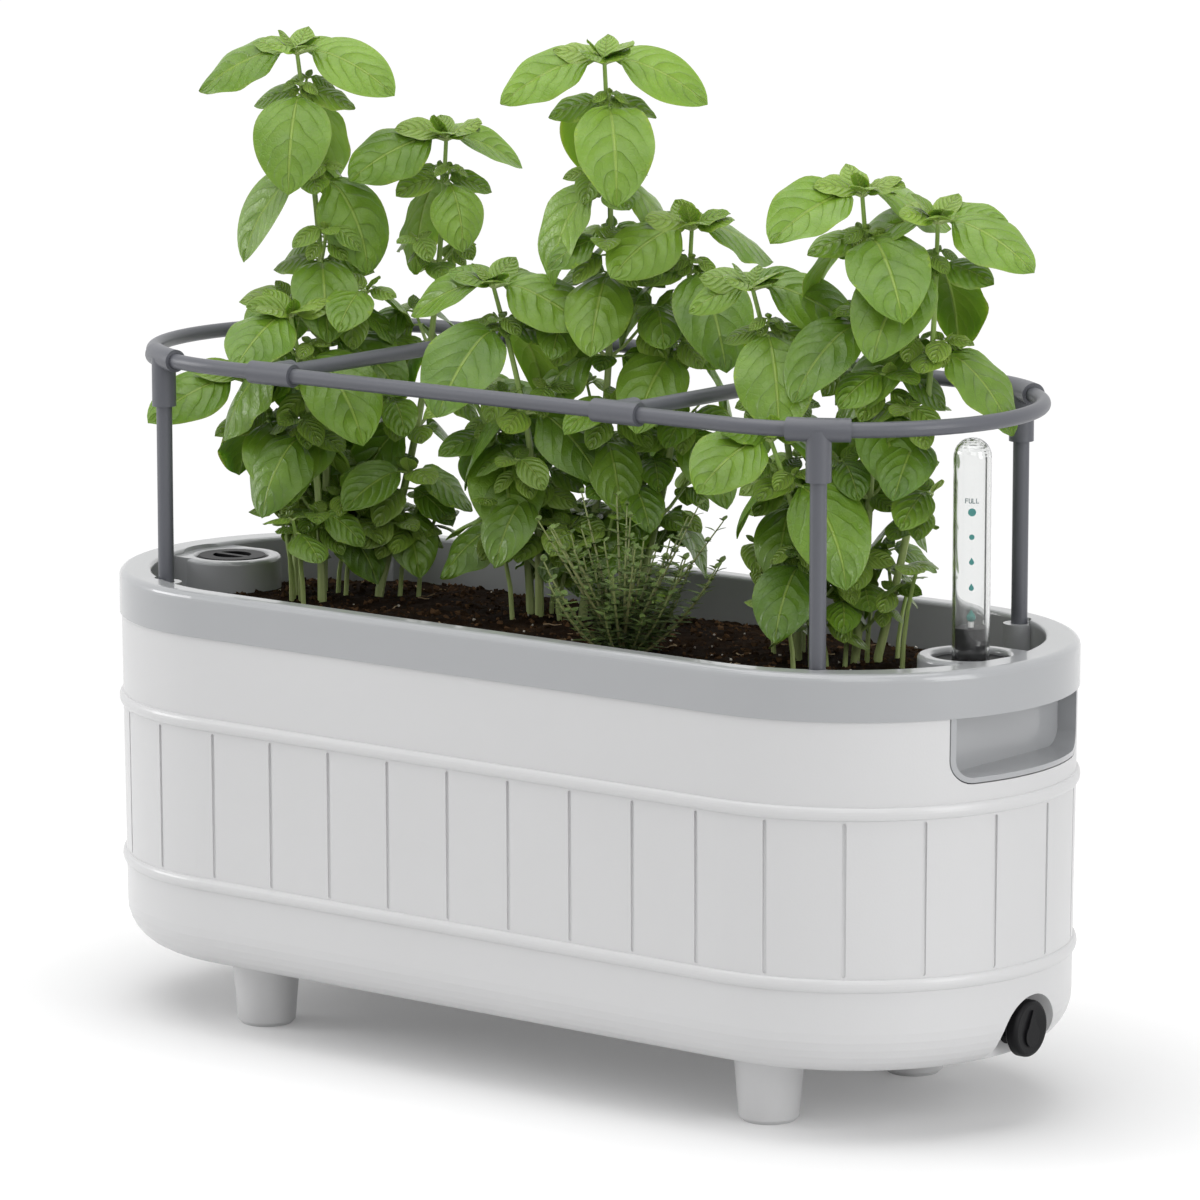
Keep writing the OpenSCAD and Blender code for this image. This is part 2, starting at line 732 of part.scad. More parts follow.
// Flush cap with a plug, and a finger bar across a hollow
module fill_cap() {
    r = boss_recess_r - slide_gap;
    grip_r = r * 0.55;
    color(black) translate([-port_x, 0, seat_z]) difference() {
        union() {
            rotate_extrude()
                polygon([[0, 0], [r, 0], [r, cap_t - cap_edge], [r - cap_edge, cap_t], [0, cap_t]]);
            translate([0, 0, -cap_plug_h]) cylinder(r = plug_r, h = cap_plug_h + through);
        }
        translate([0, 0, -cap_plug_h / 2]) rotate_extrude()
            translate([plug_r, 0]) circle(seal_r + plug_gap);
        difference() {
            translate([0, 0, cap_t - cap_grip_depth]) cylinder(r = grip_r, h = cap_grip_depth + through);
            translate([-r, -cap_bar_w / 2, -cap_grip_depth]) cube([2 * r, cap_bar_w, 2 * cap_grip_depth]);
        }
    }
}

// Ring in the plug's groove that holds the cap in its shaft
module fill_cap_seal() {
    color(slate) translate([-port_x, 0, seat_z - cap_plug_h / 2])
        rotate_extrude() translate([plug_r + plug_gap, 0]) circle(seal_r);
}

module gauge_disc() {
    color(black) translate([port_x, 0, 0])
        washer_shape(boss_recess_r - plug_gap, rod_d / 2 + slide_gap, seat_z, gauge_low);
}

// Guide inside the clear tube that keeps the float rod upright
module gauge_collar() {
    r = gauge_d / 2 - gauge_wall - plug_gap;
    color(black) translate([port_x, 0, 0])
        washer_shape(r, rod_d / 2 + slide_gap, gauge_low, gauge_low + guide_h);
}

// Clear tube with a domed end
module gauge_tube() {
    r = gauge_d / 2;
    color(clear) translate([port_x, 0, 0]) rotate_extrude() polygon(concat(
        [[r - gauge_wall, gauge_low], [r, gauge_low]],
        arc([0, gauge_top - r], r, 0, 90),
        arc([0, gauge_top - r], r - gauge_wall, 90, 0)
    ));
}

module gauge_float() {
    r = float_d / 2;
    color(white) translate([port_x, 0, float_bottom]) rotate_extrude() polygon([
        [0, 0], [r - float_edge, 0], [r, float_edge], [r, float_h - float_edge], [r - float_edge, float_h],
        [0, float_h]
    ]);
}

module float_rod() {
    low = float_bottom + float_h;
    color(white) translate([port_x, 0, low]) cylinder(d = rod_d, h = pointer_z - pointer_size / 2 - low);
}

// Drop-shaped pointer on the rod's tip
module float_pointer() {
    s = pointer_size;
    color(teal) translate([port_x, 0, pointer_z - s / 2]) rotate_extrude()
        polygon(concat([[0, 0]], arc([0, s * 0.45], s * 0.45, -70, 20, 6), [[s * 0.12, s], [0, s * 1.2]]));
}

// Trellis post, from its socket up into its tee
module post(sx, sy) {
    color(slate) translate([sx * post_x, sy * post_y, post_foot])
        cylinder(d = post_d, h = post_top - post_foot);
}

// Stretch of the ring round the right end, between two angles from the front straight side
module ring_arc(r, a, b) {
    translate([ring_half, 0, ring_z]) rotate([0, 0, a - 90])
        rotate_extrude(angle = b - a) translate([ring_r, 0]) circle(r);
}

// Tee that joins two stretches of the ring and caps a post
module post_tee(sx, sy) {
    color(slate) mirror([sx > 0 ? 0 : 1, 0, 0]) mirror([0, sy < 0 ? 0 : 1, 0]) difference() {
        union() {
            ring_arc(tee_r, post_angle - tee_half_angle, post_angle + tee_half_angle);
            translate([post_x, -post_y, ring_z - post_tee_drop]) cylinder(r = post_sleeve_r, h = post_tee_drop);
        }
        ring_arc(ring_d / 2 + plug_gap, post_angle - tee_half_angle - 1, post_angle + tee_half_angle + 1);
        translate([post_x, -post_y, ring_z - post_tee_drop - through])
            cylinder(d = post_d + 2 * plug_gap, h = post_top - ring_z + post_tee_drop + through);
    }
}

module end_bow(sx) {
    color(slate) mirror([sx > 0 ? 0 : 1, 0, 0])
        ring_arc(ring_d / 2, post_angle + butt_angle, 180 - post_angle - butt_angle);
}

// Long side of the ring, with the start of the bend at each end
module rail(sy) {
    color(slate) mirror([0, sy < 0 ? 0 : 1, 0]) {
        translate([-ring_half, -ring_r, ring_z]) rotate([0, 90, 0]) cylinder(d = ring_d, h = 2 * ring_half);
        at_both_ends() ring_arc(ring_d / 2, 0, post_angle - butt_angle);
    }
}

module cross_tube(x) {
    reach = ring_r - cross_start;
    color(slate) translate([x, -reach, ring_z]) rotate([-90, 0, 0]) cylinder(d = ring_d, h = 2 * reach);
}

// Tee that slides on a rail and holds one end of a cross tube
module cross_tee(x, sy) {
    color(slate) translate([x, sy * ring_r, ring_z]) rotate([0, 0, sy < 0 ? 0 : 180]) difference() {
        union() {
            translate([-cross_tee_len / 2, 0, 0]) rotate([0, 90, 0]) cylinder(r = tee_r, h = cross_tee_len);
            rotate([-90, 0, 0]) cylinder(r = tee_r, h = branch_len);
        }
        translate([-cross_tee_len / 2 - through, 0, 0]) rotate([0, 90, 0])
            cylinder(d = ring_d + 2 * plug_gap, h = cross_tee_len + 2 * through);
        rotate([-90, 0, 0]) cylinder(d = ring_d + 2 * plug_gap, h = branch_len + through);
    }
}

// Growing mix that fills the tub and the baskets
module soil() {
    gap = slide_gap;
    r = tub_r - gap;
    color(brown) difference() {
        union() {
            oval(tub_half, [[0, tub_floor_z + gap], [r, tub_floor_z + gap], [r, soil_edge_z],
                [r * 0.65, soil_mid_z - 3], [r * 0.3, soil_mid_z], [0, soil_mid_z]]);
            for (sx = [-1, 1]) translate([sx * basket_x, 0, basket_bottom + basket_wall + gap])
                cylinder(r1 = basket_foot_r - basket_wall - 2 * gap, r2 = basket_r - basket_wall - 2 * gap,
                    h = tub_floor_z - basket_bottom);
        }
        for (sx = [-1, 1]) translate([sx * basket_x, 0, 0])
            washer_shape(basket_r + basket_lip + gap, basket_r - basket_wall - gap, tub_floor_z - through,
                tub_floor_z + basket_lip_t + gap);
        at_both_ends() {
            translate([port_x, 0, tub_floor_z]) cylinder(r = shaft_r + shaft_wall + gap, h = deck_z);
            translate([port_x, 0, boss_floor - gap]) cylinder(r = boss_r + gap, h = deck_z);
            translate([port_x, -bridge_half_w - gap, boss_floor - gap])
                cube([tub_end - port_x + through, 2 * (bridge_half_w + gap), deck_z]);
            pocket_block(pocket_back - pocket_wall - gap, tub_end + through, gap, seam_z + pocket_wall + gap);
        }
        at_posts() translate([0, 0, post_foot - socket_wall - gap]) cylinder(r = socket_r + gap, h = deck_z);
    }
}

// Arched leaf on a thin stalk, with its edges lower than its midrib
module leaf(foot, turn, rise, droop, length) {
    stations = length > leaf_len * 0.5 ? [0.14, 0.32, 0.58, 0.84] : [0.16, 0.55];
    body = 0.7;
    rings = [for (t = stations) let (w = t == stations[0] ? body : leaf_half(length, t)) each [
        leaf_point(foot, turn, rise, droop, length, t, w),
        leaf_point(foot, turn, rise, droop, length, t, 0, body),
        leaf_point(foot, turn, rise, droop, length, t, -w),
        leaf_point(foot, turn, rise, droop, length, t, 0, -body),
    ]];
    last = len(rings);
    polyhedron(
        points = concat([foot], rings, [leaf_point(foot, turn, rise, droop, length, 1)]),
        faces = concat(
            [for (j = [0:3]) [0, 1 + j, 1 + (j + 1) % 4]],
            [for (i = [0:len(stations) - 2], j = [0:3], half_face = [0, 1])
                let (a = 1 + 4 * i + j, b = 1 + 4 * i + (j + 1) % 4)
                half_face == 0 ? [a, a + 4, b + 4] : [a, b + 4, b]],
            [for (j = [0:3]) [last - 3 + j, last + 1, last - 3 + (j + 1) % 4]]
        )
    );
}

// Basil plant: bent stems with leaf pairs that turn a quarter at each step
module basil(stems, room, seed) {
    joints = 4;
    color(leaf_green) union() for (i = [0:len(stems) - 1]) {
        for (k = [0:joints - 1]) hull() for (t = [k, k + 1] / joints)
            translate(stalk_point(stems[i], t)) cylinder(d = stalk_d * (1 - 0.55 * t), h = 0.6, $fn = 6);
        for (l = stem_leaves(stems[i], seed + 50 * i)) {
            sizes = [for (f = [1:-0.1:0.4]) if (leaf_fits(l[0], l[1], l[2], l[3], l[4] * f, room)) f];
            if (len(sizes) > 0) leaf(l[0], l[1], l[2], l[3], l[4] * sizes[0]);
        }
    }
}

// Small pointed leaf, as two pyramids on a flat diamond
module leaflet(foot, turn, rise, length) {
    along = length * [cos(rise) * cos(turn), cos(rise) * sin(turn), sin(rise)];
    side = length * 0.22 * [-sin(turn), cos(turn), 0];
    up = [0, 0, 0.6];
    mid = foot + along * 0.5;
    polyhedron(
        points = [foot, foot + along, mid + side, mid - side, mid + up, mid - up],
        faces = [[0, 2, 4], [2, 1, 4], [1, 3, 4], [3, 0, 4], [2, 0, 5], [1, 2, 5], [3, 1, 5], [0, 3, 5]]
    );
}

// Thyme bush: sprigs that fan out of one crown, with pairs of small leaves
module thyme() {
    crown = [thyme_x, thyme_y, soil_at(thyme_y) + slide_gap];
    pairs = 4;
    golden = 137.5;
    color(thyme_green) translate(crown) union() {
        cylinder(r1 = crown_r, r2 = crown_r * 0.6, h = crown_h, $fn = 8);
        for (i = [0:sprig_count - 1]) {
            turn = golden * i;
            tilt = 4 + (sprig_tilt - 4) * sqrt(i / sprig_count);
            length = sprig_len * (1 - 0.45 * chance(i));
            heading = [sin(tilt) * cos(turn), sin(tilt) * sin(turn), cos(tilt)];
            start = [0, 0, crown_h / 2];
            hull() for (t = [0, 1]) translate(start + length * heading * t)
                cylinder(d = sprig_d * (1 - 0.5 * t), h = 0.6, $fn = 5);
            for (k = [1:pairs], side = [0, 180])
                leaflet(start + length * heading * (0.25 + 0.74 * k / pairs), turn + 90 * k + side + 40,
                    leaflet_rise, leaflet_len);
        }
    }
}

outer_shell();
reservoir_floor();
drain_panel();
foot(-1, -1);  // foot_front_left
foot(1, -1);  // foot_front_right
foot(-1, 1);  // foot_rear_left
foot(1, 1);  // foot_rear_right
drain_bush();
drain_washer();
drain_stem();
drain_knob();
planter_tub();
wick_basket(-1);  // wick_basket_left
wick_basket(1);  // wick_basket_right
fill_cap();
fill_cap_seal();
gauge_disc();
gauge_collar();
gauge_tube();
gauge_float();
float_rod();
float_pointer();
post(-1, -1);  // post_front_left
post(1, -1);  // post_front_right
post(-1, 1);  // post_rear_left
post(1, 1);  // post_rear_right
post_tee(-1, -1);  // post_tee_front_left
post_tee(1, -1);  // post_tee_front_right
post_tee(-1, 1);  // post_tee_rear_left
post_tee(1, 1);  // post_tee_rear_right
end_bow(-1);  // end_bow_left
end_bow(1);  // end_bow_right
rail(-1);  // front_rail
rail(1);  // rear_rail
cross_tube(cross_left_x);  // cross_tube_left
cross_tube(cross_right_x);  // cross_tube_right
cross_tee(cross_left_x, -1);  // cross_tee_front_left
cross_tee(cross_right_x, -1);  // cross_tee_front_right
cross_tee(cross_left_x, 1);  // cross_tee_rear_left
cross_tee(cross_right_x, 1);  // cross_tee_rear_right
soil();
basil(left_stems, left_room, 23);  // basil_left
basil(middle_stems, middle_room, 200);  // basil_middle
basil(right_stems, right_room, 400);  // basil_right
thyme();
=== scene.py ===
import json
import math
import random
from collections import namedtuple

import bpy
from mathutils import Matrix, Vector, noise


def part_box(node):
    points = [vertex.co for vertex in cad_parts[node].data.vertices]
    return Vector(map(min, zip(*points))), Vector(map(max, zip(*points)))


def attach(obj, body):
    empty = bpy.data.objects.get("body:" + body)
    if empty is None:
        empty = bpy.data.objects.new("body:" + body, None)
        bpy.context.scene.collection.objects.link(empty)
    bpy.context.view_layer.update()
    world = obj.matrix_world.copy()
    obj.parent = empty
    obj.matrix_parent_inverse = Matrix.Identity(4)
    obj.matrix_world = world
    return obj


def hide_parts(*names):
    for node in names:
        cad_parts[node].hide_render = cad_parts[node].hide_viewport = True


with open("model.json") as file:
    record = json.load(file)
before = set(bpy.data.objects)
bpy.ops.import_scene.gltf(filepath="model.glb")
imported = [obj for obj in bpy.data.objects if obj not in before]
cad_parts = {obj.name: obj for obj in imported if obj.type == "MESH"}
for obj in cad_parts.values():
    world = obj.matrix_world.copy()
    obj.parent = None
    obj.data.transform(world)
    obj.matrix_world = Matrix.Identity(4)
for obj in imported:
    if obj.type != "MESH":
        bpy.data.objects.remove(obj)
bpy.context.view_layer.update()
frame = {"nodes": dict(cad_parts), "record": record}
nodes = frame["nodes"]
MM = 0.001


# Places and sizes, in millimetres, read from the frame

def box_mm(node):
    low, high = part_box(node)
    return low / MM, high / MM


def middle_of(node):
    low, high = box_mm(node)
    return (low + high) / 2


rail_low, rail_high = box_mm("front_rail")
post_middle = middle_of("post_front_right")
gauge_low, gauge_high = box_mm("gauge_tube")
pointer_z = middle_of("float_pointer").z
soil_high = box_mm("soil")[1]
deck_z = box_mm("planter_tub")[1].z
tube_r = (rail_high.z - rail_low.z) / 2
ring_z = rail_low.z + tube_r
ring_r = -rail_low.y - tube_r
ring_half = box_mm("end_bow_right")[1].x - tube_r - ring_r
post_x, post_y = post_middle.x, -post_middle.y
port_x = (gauge_low.x + gauge_high.x) / 2
gauge_r = (gauge_high.x - gauge_low.x) / 2
gauge_top = gauge_high.z
cross_left = middle_of("cross_tube_left").x
cross_right = middle_of("cross_tube_right").x
soil_r = soil_high.y
soil_half = soil_high.x - soil_r


# Scene helpers

# Middle of a leaf's map, or of a range of tints
MIDDLE = (0.5, 0.5)
# Direction that no tube follows, from which its rings are laid out
OFF_AXIS = Vector((0.3, 0.9, 0.2))


def add_object(name, data):
    thing = bpy.data.objects.new(name, data)
    bpy.context.scene.collection.objects.link(thing)
    return thing


def add_piece(name, mesh, body):
    piece = add_object(name, mesh)
    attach(piece, body)
    return piece


class Builder:
    """Gathers closed shapes into one mesh. Points are in millimetres."""

    def __init__(self):
        self.points, self.faces, self.kinds, self.uvs, self.tints = [], [], [], [], []

    def tube(self, rings, uvs, kinds, tint):
        """Skin closed rings of points and cap both ends. kinds gives the material of each side of a ring."""
        base, n = len(self.points), len(rings[0])
        for ring, row in zip(rings, uvs):
            self.points += ring
            self.uvs += row
        self.tints += [tint] * (n * len(rings))
        for i in range(len(rings) - 1):
            a, b = base + i * n, base + (i + 1) * n
            for j in range(n):
                k = (j + 1) % n
                self.faces.append((a + j, a + k, b + k, b + j))
                self.kinds.append(kinds[j])
        last = base + (len(rings) - 1) * n
        self.faces.append(tuple(base + j for j in reversed(range(n))))
        self.faces.append(tuple(last + j for j in range(n)))
        self.kinds += [kinds[-1]] * 2

    def solid(self, points, faces, kind, tint):
        base = len(self.points)
        self.points += points
        self.uvs += [MIDDLE] * len(points)
        self.tints += [tint] * len(points)
        self.faces += [tuple(base + i for i in face) for face in faces]
        self.kinds += [kind] * len(faces)

    def make(self, name, materials, body, sharp=50):
        """The mesh as a piece, with crisp edges where it bends by more than sharp degrees."""
        mesh = bpy.data.meshes.new(name)
        mesh.from_pydata([p * MM for p in self.points], [], self.faces)
        for m in materials:
            mesh.materials.append(m)
        corners = [loop.vertex_index for loop in mesh.loops]
        for layer, values in (("place", self.uvs), ("tint", self.tints)):
            flat = [c for i in corners for c in values[i]]
            mesh.uv_layers.new(name=layer).data.foreach_set("uv", flat)
        mesh.polygons.foreach_set("material_index", self.kinds)
        mesh.polygons.foreach_set("use_smooth", [True] * len(self.faces))
        mesh.set_sharp_from_angle(angle=math.radians(sharp))
        return add_piece(name, mesh, body)


def round_tube(builder, path, radius_at, sides, kind, tint=MIDDLE, square=0.0):
    """A tube along a list of points, whose radius is a function of the share of the way along."""
    rings, uvs = [], []
    last = len(path) - 1
    for i, p in enumerate(path):
        along = (path[min(i + 1, last)] - path[max(i - 1, 0)]).normalized()
        side = along.cross(OFF_AXIS).normalized()
        up = along.cross(side)
        ring = []
        for j in range(sides):
            a = 2 * math.pi * j / sides
            r = radius_at(i / last) * (1 + square * math.cos(4 * a))
            ring.append(p + side * (r * math.cos(a)) + up * (r * math.sin(a)))
        rings.append(ring)
        uvs.append([(i / last, j / sides) for j in range(sides)])
    builder.tube(rings, uvs, [kind] * sides, tint)


class Nodes:
    """Short way to write the node tree of a material or a world."""

    def __init__(self, name="", owner=None):
        self.material = owner or bpy.data.materials.new(name)
        self.material.use_nodes = True
        self.tree = self.material.node_tree
        self.shader = self.tree.nodes["Background" if owner else "Principled BSDF"]

    def add(self, kind, settings=None, **inputs):
        node = self.tree.nodes.new("ShaderNode" + kind)
        for key, value in (settings or {}).items():
            setattr(node, key, value)
        for key, value in inputs.items():
            self.set(node, key, value)
        return node

    def set(self, node, key, value):
        socket = node.inputs[key if isinstance(key, int) else key.replace("_", " ")]
        if isinstance(value, bpy.types.NodeSocket):
            self.tree.links.new(value, socket)
        else:
            socket.default_value = value

    def paint(self, **inputs):
        for key, value in inputs.items():
            self.set(self.shader, key, value)

    def place(self):
        """Coordinates in metres, in the object's own frame."""
        return self.add("TexCoord").outputs["Object"]

    def uv(self, layer):
        split = self.add("SeparateXYZ", Vector=self.add("UVMap", {"uv_map": layer}).outputs["UV"])
        return split.outputs["X"], split.outputs["Y"]

    def noise(self, scale, detail=3, roughness=0.5, vector=None):
        node = self.add("TexNoise", Scale=scale, Detail=detail, Roughness=roughness)
        self.set(node, "Vector", vector or self.place())
        return node.outputs["Fac"]

    def cells(self, scale):
        """Distance from the nearest edge between cells."""
        node = self.add("TexVoronoi", {"feature": "DISTANCE_TO_EDGE"}, Scale=scale, Vector=self.place())
        return node.outputs["Distance"]

    def ramp(self, factor, stops):
        node = self.add("ValToRGB", Fac=factor)
        ends = node.color_ramp.elements
        while len(ends) < len(stops):
            ends.new(0.5)
        for end, (position, colour) in zip(ends, stops):
            end.position = position
            end.color = (*colour, 1)
        return node.outputs["Color"]

    def math(self, operation, a, b=0.0, clamp=False):
        node = self.add("Math", {"operation": operation, "use_clamp": clamp})
        self.set(node, 0, a)
        self.set(node, 1, b)
        return node.outputs[0]

    def times(self, a, b):
        return self.math("MULTIPLY", a, b)

    def weigh(self, a, a_share, b, b_share):
        return self.math("ADD", self.times(a, a_share), self.times(b, b_share))

    def mix(self, factor, a, b):
        """A mix of two colours, from a at factor 0 to b at factor 1."""
        node = self.add("Mix", {"data_type": "RGBA"})
        self.set(node, 0, factor)
        for index, value in ((6, a), (7, b)):
            self.set(node, index, value if isinstance(value, bpy.types.NodeSocket) else (*value, 1))
        return node.outputs[2]

    def range(self, value, source, target):
        """A value taken from one range to another, and held within it."""
        node = self.add("MapRange", Value=value)
        for key, number in zip(("From Min", "From Max", "To Min", "To Max"), (*source, *target)):
            node.inputs[key].default_value = number
        return node.outputs["Result"]

    def bump(self, height, distance):
        node = self.add("Bump", Height=height, Distance=distance)
        self.set(self.shader, "Normal", node.outputs["Normal"])


def scaled(colour, factor):
    return [min(1, c * factor) for c in colour]


# Materials of the moulded pieces

def moulded(name, colour, roughness, coat, grain=0.00004, spread=0.05, wander=0.06, gleam=0.45):
    """Moulded plastic: a faint flow of tone, uneven gloss and a fine orange-peel skin.

    grain is the skin's depth in metres, spread and wander are the shares by which tone and roughness drift,
    and gleam is the specular level.
    """
    n = Nodes(name)
    flow = n.noise(scale=9, detail=4)
    n.paint(Base_Color=n.ramp(flow, [(0.3, scaled(colour, 1 - spread)), (0.7, scaled(colour, 1 + spread))]))
    gloss = n.noise(scale=25)
    n.paint(Roughness=n.range(gloss, (0.1, 0.9), (roughness * (1 - wander), roughness * (1 + wander))))
    n.paint(Coat_Weight=coat, Coat_Roughness=0.06, Specular_IOR_Level=gleam)
    n.bump(n.noise(scale=900, detail=2), grain)
    return n.material


def clear_plastic(name):
    """Clear plastic with a light haze, greyer where more of it is looked through."""
    n = Nodes(name)
    haze = n.noise(scale=120, detail=2)
    n.paint(Base_Color=(0.97, 0.975, 0.97, 1), Transmission_Weight=0.985, IOR=1.45)
    n.paint(Roughness=n.range(haze, (0.3, 0.7), (0.015, 0.04)))
    depth = n.add("VolumeAbsorption", Color=(0.2, 0.22, 0.22, 1), Density=50.0)
    n.set(n.tree.nodes["Material Output"], "Volume", depth.outputs["Volume"])
    return n.material


def paint_mark(name, colour):
    """Printed paint, a little worn."""
    n = Nodes(name)
    wear = n.noise(scale=1500, detail=2)
    n.paint(Base_Color=n.ramp(wear, [(0.3, scaled(colour, 0.9)), (0.7, colour)]), Roughness=0.5)
    return n.material


def rubber(name, colour):
    """Matt rubber with a trace of dust."""
    n = Nodes(name)
    dust = n.noise(scale=200, detail=4)
    n.paint(Base_Color=n.ramp(dust, [(0.3, colour), (0.8, scaled(colour, 1.6))]), Roughness=0.75)
    n.bump(n.noise(scale=1200, detail=2), 0.00005)
    return n.material


PLASTICS = {
    "shell_white": dict(colour=(0.632, 0.632, 0.637), roughness=0.36, coat=0.25, spread=0.012),
    "rim_grey": dict(
        colour=(0.385, 0.393, 0.405), roughness=0.28, coat=0.6, grain=0.00001, spread=0.005, wander=0.01),
    "trellis_slate": dict(colour=(0.098, 0.102, 0.118), roughness=0.42, coat=0.1, grain=0.00006),
    "black_plastic": dict(colour=(0.006, 0.006, 0.007), roughness=0.45, coat=0.02, gleam=0.13),
    "float_white": dict(colour=(0.78, 0.78, 0.77), roughness=0.4, coat=0.1),
    "pointer_teal": dict(colour=(0.05, 0.24, 0.21), roughness=0.4, coat=0.1),
}
slot_materials = {slot: moulded(slot, **look) for slot, look in PLASTICS.items()}
slot_materials["black_rubber"] = rubber("black_rubber", (0.02, 0.02, 0.02))
slot_materials["clear_plastic"] = clear_plastic("clear_plastic")
mark_teal = paint_mark("mark_teal", (0.06, 0.26, 0.24))
mark_grey = paint_mark("mark_grey", (0.16, 0.22, 0.22))

for subpart in frame["record"]["subparts"]:
    finish = slot_materials.get(subpart["material_slot"])
    if finish:
        mesh = nodes[subpart["node"]].data
        mesh.materials.clear()
        mesh.materials.append(finish)


# Materials of the herbs

VEIN_PAIRS = 6.0
VEIN_LEAN, VEIN_ARCH = 0.16, 0.26
# How strongly age, side veins and midrib show in a leaf's tone; on upper faces the veins carry painted shade
AGE_SHARE, VEIN_SHARE, RIB_SHARE = 0.45, 0.3, 0.6
NET_RELIEF = 0.12


def leaf_skin(name, dark, light, midrib, vein_and_groove_shade, roughness, relief, sheen):
    """Leaf blade: tone by leaf, patch and painted shade, a midrib, arching side veins, swellings between
    them.
    """
    n = Nodes(name)
    along, across = n.uv("place")
    age, painted_shade_and_tone = n.uv("tint")
    off = n.math("ABSOLUTE", n.math("SUBTRACT", n.times(across, 2.0), 1.0))
    sweep = n.times(off, n.math("ADD", n.times(off, VEIN_ARCH), VEIN_LEAN))
    waver = n.range(n.noise(scale=45, detail=2), (0.3, 0.7), (-0.05, 0.05))
    phase = n.times(n.math("SUBTRACT", n.math("ADD", along, waver), sweep), VEIN_PAIRS * math.pi)
    swell = n.math("ABSOLUTE", n.math("SINE", phase))
    inward = n.range(off, (0.45, 1), (1, 0))
    side_vein = n.times(n.range(swell, (0, 0.16), (1, 0)), inward)
    rib = n.range(off, (0.02, 0.055), (1, 0))
    # Painted shade: leaves lower on the plant take more of the dark tone, mixed with random patches
    patch_and_painted_shade = n.weigh(n.noise(scale=70, detail=4), 0.6, painted_shade_and_tone, 0.55)
    tone = n.mix(n.range(patch_and_painted_shade, (0.25, 0.9), (0, 1)), dark, light)
    tone = n.mix(n.times(age, AGE_SHARE), tone, midrib)
    # Side veins: their own pale tone on the underside; on the upper face a darker tone, painted shade in
    # their grooves
    tone = n.mix(n.times(side_vein, VEIN_SHARE), tone, vein_and_groove_shade)
    n.paint(Base_Color=n.mix(n.times(rib, RIB_SHARE), tone, midrib))
    uneven = n.noise(scale=300)
    n.paint(Roughness=n.range(uneven, (0.3, 0.7), (roughness * 0.85, roughness * 1.2)))
    n.paint(Specular_IOR_Level=0.4, Sheen_Weight=sheen, Sheen_Roughness=0.4)
    n.paint(Subsurface_Weight=0.2, Subsurface_Scale=0.0015, Subsurface_Radius=(0.6, 1.0, 0.2))
    net = n.range(n.cells(scale=330), (0, 0.12), (0, 1))
    swelling = n.times(n.math("POWER", swell, 0.6), inward)
    n.bump(n.math("ADD", n.times(net, NET_RELIEF), n.math("SUBTRACT", swelling, rib)), relief)
    return n.material


def stem_skin(name, low, high):
    """Stem: streaks along it, and a tone that goes from low at its foot to high at its tip."""
    n = Nodes(name)
    stretched = n.add("Mapping", Vector=n.place(), Scale=(900, 900, 60))
    streak = n.noise(scale=1, detail=4, vector=stretched.outputs["Vector"])
    drift = n.range(streak, (0.3, 0.7), (-0.25, 0.25))
    tone = n.mix(n.math("ADD", n.uv("place")[0], drift, clamp=True), low, high)
    n.paint(Base_Color=tone, Roughness=0.5, Specular_IOR_Level=0.4)
    n.paint(Subsurface_Weight=0.1, Subsurface_Scale=0.0015, Subsurface_Radius=(0.8, 1.0, 0.4))
    n.bump(streak, 0.0002)
    return n.material


# Upper faces: the vein tone is darker than the blade, painted shade in the vein grooves
basil_top = leaf_skin(
    "basil_leaf", dark=(0.06, 0.142, 0.006), light=(0.2, 0.352, 0.027),
    midrib=(0.33, 0.46, 0.08), vein_and_groove_shade=(0.06, 0.13, 0.012), roughness=0.33, relief=0.0006, sheen=0.02)
# Undersides: a paler green that is partly their own colour and partly painted light shining through the leaf
basil_under = leaf_skin(
    "basil_under", dark=(0.14, 0.27, 0.008), light=(0.23, 0.38, 0.022),
    midrib=(0.38, 0.50, 0.12), vein_and_groove_shade=(0.30, 0.44, 0.07), roughness=0.6, relief=0.0004, sheen=0.02)
basil_stem = stem_skin("basil_stem", low=(0.42, 0.50, 0.20), high=(0.24, 0.38, 0.07))
thyme_top = leaf_skin(
    "thyme_leaf", dark=(0.048, 0.09, 0.013), light=(0.155, 0.25, 0.048),
    midrib=(0.23, 0.32, 0.09), vein_and_groove_shade=(0.06, 0.10, 0.02), roughness=0.6, relief=0.0002, sheen=0.05)
thyme_under = leaf_skin(
    "thyme_under", dark=(0.10, 0.15, 0.04), light=(0.19, 0.26, 0.08),
    midrib=(0.26, 0.33, 0.12), vein_and_groove_shade=(0.22, 0.29, 0.10), roughness=0.7, relief=0.0002, sheen=0.05)
thyme_stem = stem_skin("thyme_stem", low=(0.22, 0.19, 0.09), high=(0.27, 0.32, 0.12))


# Materials of the soil

def earth(name, dark, mid, pale):
    """Potting soil: dark ground with brown and tan grains, matt and crumbled."""
    n = Nodes(name)
    clod = n.noise(scale=55, detail=5, roughness=0.65)
    grain = n.noise(scale=650, detail=4, roughness=0.7)
    tone = n.ramp(n.weigh(clod, 0.55, grain, 0.45), [(0.36, dark), (0.54, mid), (0.68, pale)])
    n.paint(Base_Color=tone, Roughness=0.95, Specular_IOR_Level=0.06)
    n.bump(n.noise(scale=900, detail=5, roughness=0.7), 0.0012)
    return n.material


def loose_bits(name, dark, pale):
    """Crumbs and fibres: each bit has its own tone, more often a dark one."""
    n = Nodes(name)
    own = n.math("POWER", n.uv("tint")[0], 2.2)
    grain = n.noise(scale=1400, roughness=0.6)
    tone = n.mix(n.weigh(own, 0.75, grain, 0.25), dark, pale)
    n.paint(Base_Color=tone, Roughness=0.95, Specular_IOR_Level=0.06)
    n.bump(grain, 0.0004)
    return n.material


